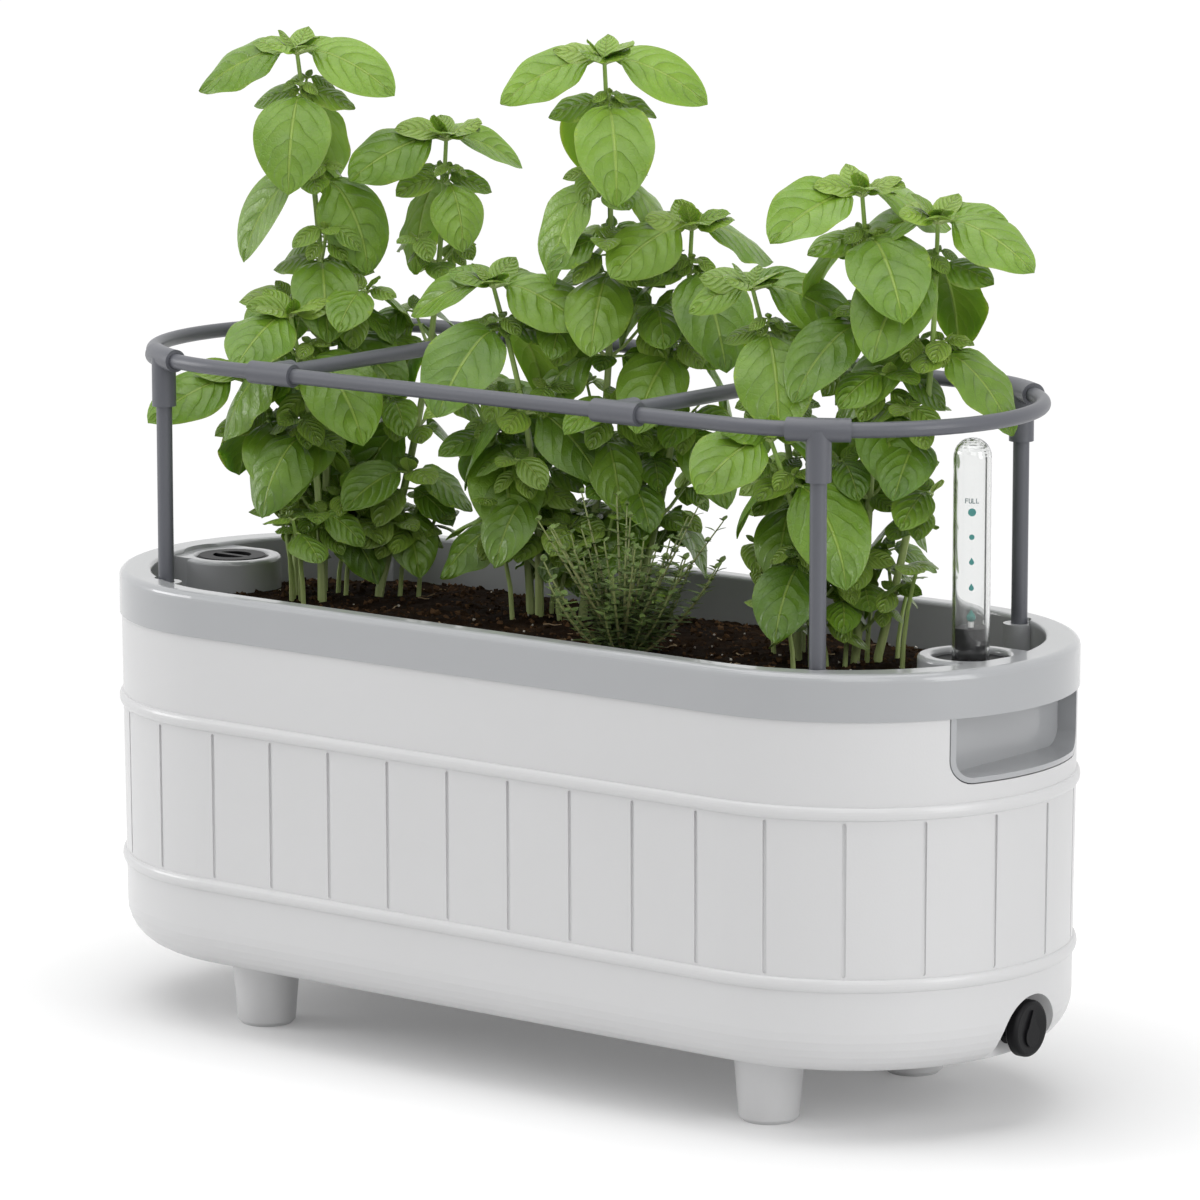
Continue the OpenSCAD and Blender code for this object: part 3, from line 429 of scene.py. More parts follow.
soil_dark = earth("soil", (0.005, 0.0028, 0.0013), (0.016, 0.0085, 0.0042), (0.048, 0.027, 0.013))
soil_crumb = loose_bits("soil_crumb", (0.006, 0.0034, 0.0018), (0.12, 0.067, 0.033))
soil_speck = loose_bits("soil_speck", (0.35, 0.31, 0.26), (0.75, 0.72, 0.66))
soil_fibre = loose_bits("soil_fibre", (0.20, 0.13, 0.07), (0.50, 0.40, 0.26))


# Planting plan of the solids, in millimetres and degrees, so that dressed leaves lie where solid ones do

Stem = namedtuple("Stem", "x y tip_x tip_y tip_z turn")
Leaf = namedtuple("Leaf", "foot turn rise droop length roll", defaults=(0.0,))

LEAF_LENGTH, LEAF_WIDTH = 68, 42
# Height between whorls, of the first below the tip, and of the lowest above the soil
LEAF_STEP, WHORL_TOP, LEAF_FIRST = 42, 22, 40
STALK_D, STALK_BOW = 5, 8
# Room that leaves keep beside tubes and posts, above the soil, and beside and above the fill cap
LANE, POST_LANE, SOIL_ROOM = 7.7, 9.7, 2
CAP_LANE, CAP_ROOM = 24, 36
POST_DEPTH = 25
# Place of a leaf's neck, its share of the droop there, and the fall of the edges
NECK, NECK_DROOP, EDGE_FALL = 0.3, 0.65, 0.15
# Places along a leaf at which it is tested for room
TEST_SHARES = (0.2, 0.4, 0.6, 0.8, 1)
# Leaves at the tip of a stem: rise, droop, share of the full length
ROSETTE_COUNT = 6
ROSETTE_LARGE, ROSETTE_SMALL = (24, 66, 0.85), (55, 60, 0.36)
# Share of the full length that the leaves lose from the top whorl down
LOW_LOSS = 0.42
# Height of the soil in its middle and at its edge, and its first dip between two shares of its half width
SOIL_MID_Z, SOIL_EDGE_Z, SOIL_DIP = 213, 205, 3
DIP_START, DIP_END = 0.3, 0.65
THYME_X, THYME_Y = 58, -44
SPRIG_LENGTH, SPRIG_COUNT, SPRIG_TILT = 88, 20, 40
THYME_TOP = SOIL_MID_Z + SPRIG_LENGTH
THYME_REACH = SPRIG_LENGTH * math.sin(math.radians(SPRIG_TILT)) + 4
GOLDEN_TURN = 137.5

# Basil plants: the seed of their chances, the lowest and highest x of their room, and their stems
PLANTS = {
    "basil_left": (23, (-262, -98), (
        Stem(-172, 0, -186, 0, 490, 28),
        Stem(-146, 14, -126, 46, 446, 58),
        Stem(-160, -14, -164, -32, 360, 100),
        Stem(-180, -10, -208, -18, 322, 62),
    )),
    "basil_middle": (200, (-96, 84), (
        Stem(-22, 26, 0, 16, 494, 40),
        Stem(-40, 14, -48, -12, 382, 12),
        Stem(2, 36, 36, 40, 412, 75),
        Stem(-52, 22, -76, 6, 322, 50),
    )),
    "basil_right": (400, (90, 262), (
        Stem(130, 2, 117, -18, 394, 32),
        Stem(160, 8, 174, -8, 442, 70),
        Stem(166, 18, 208, 6, 430, 10),
        Stem(148, -10, 146, -42, 326, 84),
    )),
}


def chance(n):
    """Repeatable share from 0 to 1 for a whole number."""
    v = (n * 7919 + 4447) % 1009
    return (v * v) % 97 / 96


def between(low, high, n):
    """Repeatable value between two others for a whole number."""
    return low + (high - low) * chance(n)


def heading(turn):
    return Vector((math.cos(math.radians(turn)), math.sin(math.radians(turn)), 0))


def from_axis(x, y, half):
    """Distance from the long axis of an oval, which reaches half to each side of the middle."""
    return math.hypot(max(abs(x) - half, 0), y)


def soil_at(y):
    """Height of the soil's surface a distance y from its long axis."""
    share = abs(y) / soil_r
    low = SOIL_MID_Z - SOIL_DIP
    if share < DIP_START:
        return SOIL_MID_Z
    if share < DIP_END:
        return SOIL_MID_Z - SOIL_DIP * (share - DIP_START) / (DIP_END - DIP_START)
    return low - (low - SOIL_EDGE_Z) * (share - DIP_END) / (1 - DIP_END)


def stalk_point(stem, t):
    foot = Vector((stem.x, stem.y, soil_at(stem.y)))
    tip = Vector((stem.tip_x, stem.tip_y, stem.tip_z))
    return foot.lerp(tip, t) + heading(stem.turn) * (STALK_BOW * math.sin(math.pi * t))


def stem_height(stem):
    return stem.tip_z - soil_at(stem.y)


def whorl_shares(stem):
    """Places of the whorls along a stem, from the top down."""
    height = stem_height(stem)
    count = math.floor((height - LEAF_FIRST - WHORL_TOP) / LEAF_STEP) + 1
    return [1 - (WHORL_TOP + k * LEAF_STEP) / height for k in range(count)]


def whorl_turn(stem, k, q, n):
    """Heading of leaf q in whorl k, a little off its quarter."""
    return stem.turn + 90 * (k + 1 + q) + between(-18, 18, n)


def stem_leaves(stem, seed):
    """A rosette at the tip, and whorls of two large and two small leaves below, each a quarter turn on."""
    leaves = []
    for k in range(ROSETTE_COUNT):
        rise, droop, share = ROSETTE_LARGE if k % 3 == 0 else ROSETTE_SMALL
        turn = stem.turn + 360 / ROSETTE_COUNT * k
        leaves.append(Leaf(stalk_point(stem, 1), turn, rise, droop, LEAF_LENGTH * share))
    shares = whorl_shares(stem)
    for k, t in enumerate(shares):
        size = LEAF_LENGTH * (1 - LOW_LOSS * k / len(shares))
        for q in range(4):
            n = seed + 4 * k + q
            if q % 2 == 0:
                rise, droop, length = between(14, 30, n + 30), between(88, 112, n + 60), size
            else:
                rise, droop, length = 40, 76, size * between(0.52, 0.4, n + 90)
            leaves.append(Leaf(stalk_point(stem, t), whorl_turn(stem, k, q, n), rise, droop, length))
    return leaves


def arc_step(length, start, end):
    """Run and rise of an arc of a given length whose slope goes from start to end, in degrees."""
    a, b = math.radians(start), math.radians(end)
    if abs(a - b) < 1e-6:
        return Vector((length * math.cos(a), length * math.sin(a)))
    return Vector((math.sin(a) - math.sin(b), math.cos(b) - math.cos(a))) * (length / (a - b))


def leaf_point(leaf, t):
    """Point on a leaf's midrib, which bends over at its neck."""
    middle, end = leaf.rise - NECK_DROOP * leaf.droop, leaf.rise - leaf.droop
    if t <= NECK:
        step = arc_step(leaf.length * t, leaf.rise, leaf.rise + (middle - leaf.rise) * t / NECK)
    else:
        slope = middle + (end - middle) * (t - NECK) / (1 - NECK)
        step = arc_step(leaf.length * NECK, leaf.rise, middle)
        step += arc_step(leaf.length * (t - NECK), middle, slope)
    return leaf.foot + heading(leaf.turn) * step.x + Vector((0, 0, step.y))


def leaf_half(length, t):
    """Half the width of a leaf's solid at a share t of its length."""
    wave = max(math.sin(math.pi * t ** 0.8), 0)
    return LEAF_WIDTH / LEAF_LENGTH * length / 2 * wave ** 0.8


def in_cell(p, room):
    """Whether a point lies in the trellis cell of a plant, clear of the tubes."""
    middle = (room[0] + room[1]) / 2
    walls = [-soil_high.x, cross_left, cross_right, soil_high.x]
    low = max(x for x in walls if x < middle)
    high = min(x for x in walls if x > middle)
    return low + LANE < p.x < high - LANE and from_axis(p.x, p.y, ring_half) < ring_r - LANE


def is_clear(p, room):
    """Whether a point keeps to its plant's room, clear of the lifting trellis, the ports and the thyme."""
    lifted = ring_z + POST_DEPTH
    if not (room[0] < p.x < room[1] and abs(p.y) < soil_r and p.z > SOIL_MID_Z + SOIL_ROOM):
        return False
    if ring_z - LANE < p.z < lifted + LANE and not in_cell(p, room):
        return False
    if p.z < lifted and math.hypot(abs(p.x) - post_x, abs(p.y) - post_y) < POST_LANE:
        return False
    if p.z < gauge_top + LANE and math.hypot(p.x - port_x, p.y) < gauge_r + LANE:
        return False
    if p.z < deck_z + CAP_ROOM and math.hypot(p.x + port_x, p.y) < CAP_LANE:
        return False
    return p.z > THYME_TOP or math.hypot(p.x - THYME_X, p.y - THYME_Y) > THYME_REACH


def leaf_fits(leaf, room):
    """Whether a whole leaf is clear, tested along its midrib and both edges."""
    side = heading(leaf.turn + 90)
    for t in TEST_SHARES:
        p, w = leaf_point(leaf, t), leaf_half(leaf.length, t)
        for edge in (-w, 0, w):
            if not is_clear(p + side * edge - Vector((0, 0, abs(edge) * EDGE_FALL)), room):
                return False
    return True


def fitted(leaf, room):
    """The leaf at the largest size that fits its room, or nothing."""
    for tenths in range(10, 3, -1):
        smaller = leaf._replace(length=leaf.length * tenths / 10)
        if leaf_fits(smaller, room):
            return smaller
    return None


# How the leaves hang in the light: they face the front, and keep the gauge and the fill cap in sight

# Heading and slope from which the front is seen, and how far a leaf rolls towards it
FRONT_TURN, FRONT_SLOPE, FRONT_LEAN = -52, 10, 38
ROLL_SHARES = (1, 0.6, 0.3)
# Step along a midrib that gives its direction
NEXT_SHARE = 0.02
# Room that stays open above and beside the gauge, and above the fill cap
GAUGE_VIEW_TOP, GAUGE_VIEW_SIDE, CAP_VIEW = 4, 2, 7


def leaf_frame(leaf, t, twist=0.0):
    """Point on a leaf's midrib, with the directions across its blade and out of its upper face."""
    centre = leaf_point(leaf, t)
    along = (leaf_point(leaf, t + NEXT_SHARE) - centre).normalized()
    side = Matrix.Rotation(math.radians(leaf.roll) + twist, 3, along) @ heading(leaf.turn + 90)
    return centre, side, along.cross(side)


def edge_points(leaf):
    """Points along a leaf's midrib and both edges."""
    points = []
    for t in TEST_SHARES:
        centre, side, _ = leaf_frame(leaf, t)
        half = leaf_half(leaf.length, t)
        points += [centre - side * half, centre, centre + side * half]
    return points


def faced(leaf, room):
    """The leaf rolled about its midrib to face the light at the front, as far as it stays clear."""
    for share in ROLL_SHARES:
        roll = FRONT_LEAN * share * math.sin(math.radians(leaf.turn - FRONT_TURN))
        rolled = leaf._replace(roll=roll)
        if all(is_clear(p, room) for p in edge_points(rolled)):
            return rolled
    return leaf


def hides_port(leaf):
    """Whether a leaf hangs before or behind the gauge, or before the fill cap, as seen from the front."""
    toward, across = heading(FRONT_TURN), heading(FRONT_TURN + 90)
    fall = math.tan(math.radians(FRONT_SLOPE))
    for p in edge_points(leaf):
        by_gauge, by_cap = p - Vector((port_x, 0, gauge_top)), p - Vector((-port_x, 0, deck_z))
        if by_gauge.z < GAUGE_VIEW_TOP and abs(by_gauge.dot(across)) < gauge_r + GAUGE_VIEW_SIDE:
            return True
        if by_cap.z - fall * by_cap.dot(toward) < CAP_VIEW and abs(by_cap.dot(across)) < CAP_LANE:
            return True
    return False


def placed(leaves, room):
    """The leaves as they grow in their room, with None for those that find none or would hide a port."""
    grown = [fitted(leaf, room) for leaf in leaves]
    turned = [leaf and faced(leaf, room) for leaf in grown]
    return [leaf if leaf and not hides_port(leaf) else None for leaf in turned]


# Leaf and stem meshes

# Materials of a plant, in the order of its faces' kinds
TOP, UNDER, STALK = 0, 1, 2
# Share of a leaf that is its stalk, and how far that reaches into the blade
PETIOLE, PETIOLE_REACH = 0.13, 1.25
# Full width of a blade, its place along it, and the least half widths at base and tip
BLADE_WIDTH, WIDEST = 40, 0.435
BASE_HALF, TIP_HALF = 0.4, 0.12
# Least length of a leaf, rows along its blade, and places across half of it
BLADE_GRIDS = (
    (44, 18, (0, 0.05, 0.2, 0.42, 0.66, 0.88, 1)),
    (24, 12, (0, 0.07, 0.32, 0.7, 1)),
    (0, 8, (0, 0.09, 0.55, 1)),
)
# Depth and half width of the groove over the midrib, as shares of half the blade
GROOVE_DEPTH, GROOVE_HALF = 0.03, 0.07
# Thickness of a blade at its edge, what its middle and its midrib add, and the midrib's half width
EDGE_THICK, MIDDLE_THICK, RIB_THICK, RIB_HALF = 0.12, 0.4, 0.5, 0.06
# Waves along a blade's edge
RIPPLES = 2.5
# Rows of faces along a stem, and the share of it that a knot takes
STEM_ROWS, KNOT = 70, 0.012
# Depth of the feet of stems and seedlings in the soil
STEM_ROOT, SEEDLING_ROOT = 4, 3
# Length below which a leaf is young, the ages of young and full leaves, and the height of the lit canopy
YOUNG_LENGTH, YOUNG_AGE, FULL_AGE, CANOPY = 30, 0.75, 0.15, 280


def bell(u, half):
    return math.exp(-(u / half) ** 2)


def blade_width(s):
    """Share of the full width along the blade: a rounded base, full sides and a pointed tip."""
    return (s / WIDEST) ** 0.6 * ((1 - s) / (1 - WIDEST)) ** 0.78 if 0 < s < 1 else 0.0


def add_blade(plant, leaf, seed, tint, broad):
    """A blade that is cupped, folded, twisted, swayed and rippled by its own amounts."""
    rows, half_columns = next(grid[1:] for grid in BLADE_GRIDS if leaf.length > grid[0])
    columns = [-u for u in half_columns[:0:-1]] + list(half_columns)
    wide = broad * BLADE_WIDTH / LEAF_LENGTH * leaf.length / 2
    cup = between(0.1, 0.42, seed + 11)
    fold = between(0, 0.26, seed + 12)
    twist = math.radians(between(-17, 17, seed + 13))
    sway = leaf.length * between(-0.035, 0.035, seed + 14)
    ripple = wide * between(0, 0.07, seed + 15)
    rings, uvs = [], []
    for i in range(rows + 1):
        s = i / rows
        centre, side, up = leaf_frame(leaf, PETIOLE + (1 - PETIOLE) * s, twist * s)
        half = max(wide * blade_width(s), BASE_HALF if s < 0.5 else TIP_HALF)
        top, under = [], []
        for u in columns:
            a = abs(u)
            groove = GROOVE_DEPTH * wide * bell(u, GROOVE_HALF)
            edge = ripple * a ** 3 * math.sin(2 * math.pi * (RIPPLES * s + 0.3 * u + chance(seed)))
            rise = half * (fold * a - cup * a * a) - groove + edge
            thick = EDGE_THICK + MIDDLE_THICK * (1 - a * a) + RIB_THICK * bell(u, RIB_HALF) * (1 - s)
            p = centre + side * (u * half + sway * s * s)
            top.append(p + up * rise)
            under.append(p + up * (rise - thick * min(1, half)))
        rings.append(top + under[-2:0:-1])
        row = [(s, (u + 1) / 2) for u in columns]
        uvs.append(row + row[-2:0:-1])
    n = len(columns)
    plant.tube(rings, uvs, [TOP] * (n - 1) + [UNDER] * (n - 1), tint)


def leaf_tint(leaf, seed):
    """Age, higher for a young leaf, and painted shade, from 0 for leaves low down to 1 for those high up."""
    age = YOUNG_AGE if leaf.length < YOUNG_LENGTH else FULL_AGE
    height = (leaf.foot.z - SOIL_MID_Z) / CANOPY
    painted_shade_and_tone = 0.15 + 0.6 * height + between(-0.25, 0.25, seed + 21)
    return age * between(0.5, 1.5, seed + 22), min(max(painted_shade_and_tone, 0), 1)


def add_leaf(plant, leaf, seed, broad=1.0):
    tint = leaf_tint(leaf, seed)
    path = [leaf_point(leaf, PETIOLE * PETIOLE_REACH * i / 4) for i in range(5)]
    girth = 0.35 + 0.009 * leaf.length
    round_tube(plant, path, lambda s: girth * (1.1 - 0.35 * s), 6, STALK, tint)
    add_blade(plant, leaf, seed, tint, broad)


def add_stem(plant, stem):
    """A squarish stem, thicker where its whorls leave it."""
    shares = whorl_shares(stem)

    def girth(s):
        knots = sum(bell(s - t, KNOT) for t in shares)
        return STALK_D / 2 * (1 - 0.55 * s) * (0.94 + 0.16 * min(knots, 1))

    path = [stalk_point(stem, i / STEM_ROWS) for i in range(STEM_ROWS + 1)]
    path[0] -= Vector((0, 0, STEM_ROOT))
    round_tube(plant, path, girth, 10, STALK, square=0.05)


def add_twig(plant, path, girth, sides, leaves, seed, step, broad=1.0):
    """A thin stalk and its leaves, if it has at least two. The leaves' seeds go up by step."""
    kept = [leaf for leaf in leaves if leaf]
    if len(kept) < 2:
        return
    round_tube(plant, path, girth, sides, STALK)
    for j, leaf in enumerate(kept):
        add_leaf(plant, leaf, seed + step * j, broad)


# Basil plants: the leaves of the solids, and shoots, tip leaves and seedlings of the scene alone

TUFT_LEAVES, LOW_SHOOTS, SEEDLINGS = 5, 2, 9
# Share of their size that shoots have by the top whorl, and what each whorl below adds
TOP_VIGOUR, MORE_VIGOUR = 0.4, 0.18
# Leaves of a side shoot: point of its stalk, turn, rise, droop, length
SHOOT_LEAVES = (
    (3, 80, 26, 84, 38),
    (3, -80, 30, 80, 36),
    (3, 8, 44, 70, 27),
    (3, 172, 60, 50, 17),
    (3, -20, 70, 40, 13),
    (2, 55, 10, 70, 27),
    (2, -60, 12, 74, 25),
)


def shoot(foot, turn, reach, grown):
    """A side shoot: the path of its stalk, and its leaves, five at the tip and two below."""
    out = heading(turn)
    path = [foot + out * (reach * s) + Vector((0, 0, reach * 1.1 * s ** 1.3)) for s in (0, 0.35, 0.7, 1)]
    leaves = [
        Leaf(path[i], turn + aside, rise, droop, length * grown)
        for i, aside, rise, droop, length in SHOOT_LEAVES
    ]
    return path, leaves


def side_shoots(stem, seed):
    """Side shoots above the large leaves of each whorl, stronger further down, and more by the foot."""
    shoots = []
    for k, t in enumerate(whorl_shares(stem)):
        vigour = min(TOP_VIGOUR + MORE_VIGOUR * k, 1)
        for q in (0, 2):
            n = seed + 4 * k + q
            turn = whorl_turn(stem, k, q, n) + between(-12, 12, n + 5)
            reach = between(9, 21, n + 8) + 2 * k
            grown = vigour * between(0.75, 1.25, n + 9)
            shoots.append((*shoot(stalk_point(stem, t), turn, reach * vigour, grown), n))
    for k in range(LOW_SHOOTS):
        n = seed + 31 + k
        foot = stalk_point(stem, between(14, 34, n) / stem_height(stem))
        reach, grown = between(14, 24, n + 6), between(0.55, 0.85, n + 9)
        shoots.append((*shoot(foot, 360 * chance(n + 4), reach, grown), n))
    return shoots


def tip_tuft(stem, seed):
    """Young leaves that stand up round the tip of a stem."""
    tip = stalk_point(stem, 1)
    tuft = []
    for k in range(TUFT_LEAVES):
        turn = stem.turn + 30 + GOLDEN_TURN * k
        length = between(30, 36, seed + k) - 4 * k
        tuft.append(Leaf(tip, turn, 42 + 8 * k, 62 - 6 * k, length))
    return tuft


def add_seedling(plant, stem, room, n):
    """A young plant by a stem: a thin stalk with a pair of round leaves and a smaller pair above."""
    out = heading(360 * chance(n))
    foot = Vector((stem.x, stem.y, 0)) + out * between(9, 21, n + 1)
    foot.z = soil_at(foot.y) - SEEDLING_ROOT
    tall = between(26, 66, n + 2)
    up = Vector((0, 0, tall))
    path = [foot + out * (0.22 * tall * s * s) + up * s for s in (0, 0.3, 0.6, 0.85, 1)]
    turn = 360 * chance(n + 3)
    leaves = [Leaf(path[3], turn + 180 * k, 16, 60, between(21, 29, n + 4)) for k in (0, 1)]
    leaves += [Leaf(path[4], turn + 90 + 180 * k, 40, 60, between(14, 20, n + 5)) for k in (0, 1)]
    kept = [leaf for leaf in leaves if leaf_fits(leaf, room) and not hides_port(leaf)]
    add_twig(plant, path, lambda s: 1.3 - 0.4 * s, 7, kept, seed=n, step=3, broad=1.3)


def make_basil(node, seed, room, stems):
    plant = Builder()
    for i, stem in enumerate(stems):
        own = seed + 50 * i
        add_stem(plant, stem)
        leaves = stem_leaves(stem, own) + tip_tuft(stem, own)
        for j, leaf in enumerate(placed(leaves, room)):
            if leaf:
                add_leaf(plant, leaf, own + 3 * j)
        for path, young, n in side_shoots(stem, own):
            add_twig(plant, path, lambda s: 1 - 0.3 * s, 6, placed(young, room), seed=n, step=5)
    for i in range(SEEDLINGS):
        add_seedling(plant, stems[i % len(stems)], room, seed + 11 * i)
    piece = plant.make(node + "_plant", [basil_top, basil_under, basil_stem], "tub")
    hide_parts(node)


for node, plan in PLANTS.items():
    make_basil(node, *plan)


# Soil: the solid's own form with a crumbled crust, and loose crumbs, specks and fibres on it

BOSS_R, SOCKET_ROOM, BRIDGE_ROOM = 25.5, 10, 24
POCKET_X, POCKET_HALF = 244, 55
CRUST_VOXEL, CRUST_WELD = 2.6, 0.01
# Layers of the crust: waves per millimetre, height, and shift of the noise
CRUST_LAYERS = (
    (0.045, 2.4, (0, 0, 0)),
    (0.16, 1.5, (7, 3, 1)),
    (0.42, 0.7, (1, 9, 4)),
)
CRUST_SINK = 0.8
# How far the crust reaches down at its edge, its share where the tub covers it, and its play at the walls
CRUST_DEPTH, COVERED_SHARE, WALL_PLAY = 4, 0.3, 0.5
SOIL_SEED = 7
# Kinds of loose bits, in the order of their materials, and how many of each there are
CRUMB, SPECK, FIBRE = 0, 1, 2
CRUMBS, SPECKS, FIBRES = 3200, 90, 46
CRUMB_SIZES = (0.8, 1.0, 1.2, 1.6, 2.4)
CRUMB_CORNERS = ((1, 0, 0), (-1, 0, 0), (0, 1, 0), (0, -1, 0), (0, 0, 1), (0, 0, -1))
CRUMB_FACES = ((0, 2, 4), (2, 1, 4), (1, 3, 4), (3, 0, 4), (2, 0, 5), (1, 2, 5), (3, 1, 5), (0, 3, 5))
# Largest turn of a crumb, in radians
CRUMB_TURN = 6.28


def soil_top(x, y):
    return soil_at(from_axis(x, y, soil_half))


def is_open_soil(x, y, margin):
    """Whether loose bits can lie at a place: on soil clear of the bosses, bridges, pockets and sockets."""
    boss = math.hypot(abs(x) - port_x, y) < BOSS_R + margin
    bridge = abs(x) > port_x and abs(y) < BRIDGE_ROOM + margin
    pocket = abs(x) > POCKET_X and abs(y) < POCKET_HALF
    socket = math.hypot(abs(x) - post_x, abs(y) - post_y) < SOCKET_ROOM + margin
    return from_axis(x, y, soil_half) < soil_r - margin and not (boss or bridge or pocket or socket)


def crust_height(p):
    """Rise and fall of the crust at a point in millimetres: clods, crumbs and grains."""
    layers = (noise.noise(p * waves + Vector(shift)) * height for waves, height, shift in CRUST_LAYERS)
    return sum(layers) - CRUST_SINK


def crust_mesh():
    """The soil's solid as an even skin of small faces, roughened where it faces up."""
    source = add_object("soil_source", nodes["soil"].data.copy())
    weld = source.modifiers.new("weld", "WELD")
    weld.merge_threshold = CRUST_WELD * MM
    skin = source.modifiers.new("skin", "REMESH")
    skin.mode = "VOXEL"
    skin.voxel_size = CRUST_VOXEL * MM
    ready = source.evaluated_get(bpy.context.evaluated_depsgraph_get())
    mesh = bpy.data.meshes.new_from_object(ready)
    bpy.data.objects.remove(source)
    normals = [v.normal.copy() for v in mesh.vertices]
    for v, normal in zip(mesh.vertices, normals):
        p = v.co / MM
        if normal.z > 0.5 and p.z > SOIL_EDGE_Z - CRUST_DEPTH:
            share = 1 if is_open_soil(p.x, p.y, 2) else COVERED_SHARE
            v.co.z += crust_height(p) * share * MM
        else:
            v.co -= normal * WALL_PLAY * MM
    return mesh


def make_soil_bed():
    mesh = crust_mesh()
    mesh.materials.clear()
    mesh.materials.append(soil_dark)
    mesh.polygons.foreach_set("use_smooth", [True] * len(mesh.polygons))
    bed = add_piece("soil_bed", mesh, "tub")
    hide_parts("soil")


def scatter(rng, count, margin):
    """Random places on the open soil."""
    places = []
    while len(places) < count:
        x, y = rng.uniform(-soil_half - soil_r, soil_half + soil_r), rng.uniform(-soil_r, soil_r)
        if is_open_soil(x, y, margin):
            p = Vector((x, y, soil_top(x, y)))
            places.append(p + Vector((0, 0, crust_height(p))))
    return places


def add_crumb(loose, centre, size, kind, tint, rng):
    """An irregular lump with eight faces."""
    turn = rng.uniform(0, CRUMB_TURN)
    spin = Matrix.Rotation(turn, 3, Vector((rng.gauss(0, 1), rng.gauss(0, 1), rng.gauss(0, 1) + 0.01)))
    points = [centre + spin @ (Vector(c) * (size * rng.uniform(0.55, 1.2))) for c in CRUMB_CORNERS]
    loose.solid(points, CRUMB_FACES, kind, tint)


def add_fibre(loose, p, rng):
    """A thin bowed fibre that lies on the crust."""
    turn, reach = rng.uniform(0, 360), rng.uniform(5, 13)
    bend = heading(turn + 90) * rng.uniform(-2, 2)
    along = heading(turn) * reach
    path = [p + along * s + bend * math.sin(math.pi * s) for s in (-0.5, -0.2, 0.1, 0.5)]
    path = [Vector((q.x, q.y, soil_top(q.x, q.y) + crust_height(q) + 0.8)) for q in path]
    round_tube(loose, path, lambda s: 0.42 - 0.2 * s, 5, FIBRE, (rng.random(), 0.5))


def make_soil_crumbs():
    rng = random.Random(SOIL_SEED)
    loose = Builder()
    for p in scatter(rng, CRUMBS, margin=3):
        size = rng.choice(CRUMB_SIZES)
        add_crumb(loose, p, size, CRUMB, (rng.random(), rng.random()), rng)
    for p in scatter(rng, SPECKS, margin=4):
        add_crumb(loose, p + Vector((0, 0, 0.5)), rng.uniform(0.6, 1.3), SPECK, (rng.random(), 0.5), rng)
    for p in scatter(rng, FIBRES, margin=14):
        add_fibre(loose, p, rng)
    loose.make("soil_crumbs", [soil_crumb, soil_speck, soil_fibre], "tub", sharp=30)


make_soil_bed()
make_soil_crumbs()


# Thyme: the sprigs of the solid, with more and finer leaves, and short sprigs between them

SHORT_SPRIGS = 36
SPRIG_STEPS = 8
INNER_TILT = 4
THYME_PAIRS = 12
THYME_LEAF = 7.6
# Droop of a leaflet, half its width and the lift of its edges as shares, and its thickness
LEAFLET_DROOP, LEAFLET_HALF, LEAFLET_LIFT, LEAFLET_THICK = 34, 0.25, 0.12, 0.16


def sprig_points(crown, turn, tilt, length, bend):
    """Points of a sprig that leaves the crown at a slant and straightens as it climbs."""
    out = heading(turn)
    points = []
    for i in range(SPRIG_STEPS + 1):
        s = i / SPRIG_STEPS
        lean = math.radians(tilt) * (1 + bend * (1 - s))
        climb = Vector((0, 0, length * s * math.cos(lean)))
        points.append(crown + out * (length * s * math.sin(lean)) + climb)
    return points


def add_leaflet(plant, foot, turn, rise, length, seed):
    leaf = Leaf(foot, turn, rise, LEAFLET_DROOP, length)
    tint = (0.5 * chance(seed), between(0.2, 1, seed + 1))
    across = heading(turn + 90)
    rings, uvs = [], []
    for s in (0.02, 0.2, 0.45, 0.75, 0.99):
        centre = leaf_point(leaf, s)
        half = length * LEAFLET_HALF * max(math.sin(math.pi * s ** 0.85), 0.06)
        lift = Vector((0, 0, LEAFLET_LIFT * half))
        left, right = centre - across * half + lift, centre + across * half + lift
        rings.append([left, centre, right, centre - Vector((0, 0, LEAFLET_THICK))])
        uvs.append([(s, 0.02), (s, 0.5), (s, 0.98), (s, 0.5)])
    plant.tube(rings, uvs, [TOP, TOP, UNDER, UNDER], tint)


def add_sprig(plant, points, seed, size):
    """A sprig with pairs of leaflets, each pair a quarter turn on, and smaller ones beside them."""
    last = len(points) - 1
    round_tube(plant, points, lambda s: 0.85 * (1 - 0.6 * s), 6, STALK)
    for k in range(THYME_PAIRS):
        share = 0.14 + 0.86 * k / (THYME_PAIRS - 1)
        i = min(int(share * last), last - 1)
        foot = points[i].lerp(points[i + 1], share * last - i)
        grown = size * (1.05 - 0.35 * share) * between(0.8, 1.2, seed + k)
        for side in (0, 180):
            turn = 90 * k + side + 40 * chance(seed + 3 * k)
            add_leaflet(plant, foot, turn, 22 + 26 * share, grown, seed + 2 * k)
            if 0.2 < share < 0.9:
                add_leaflet(plant, foot, turn + 38, 42, grown * 0.6, seed + 2 * k + 1)
                add_leaflet(plant, foot, turn - 38, 46, grown * 0.55, seed + 2 * k + 5)


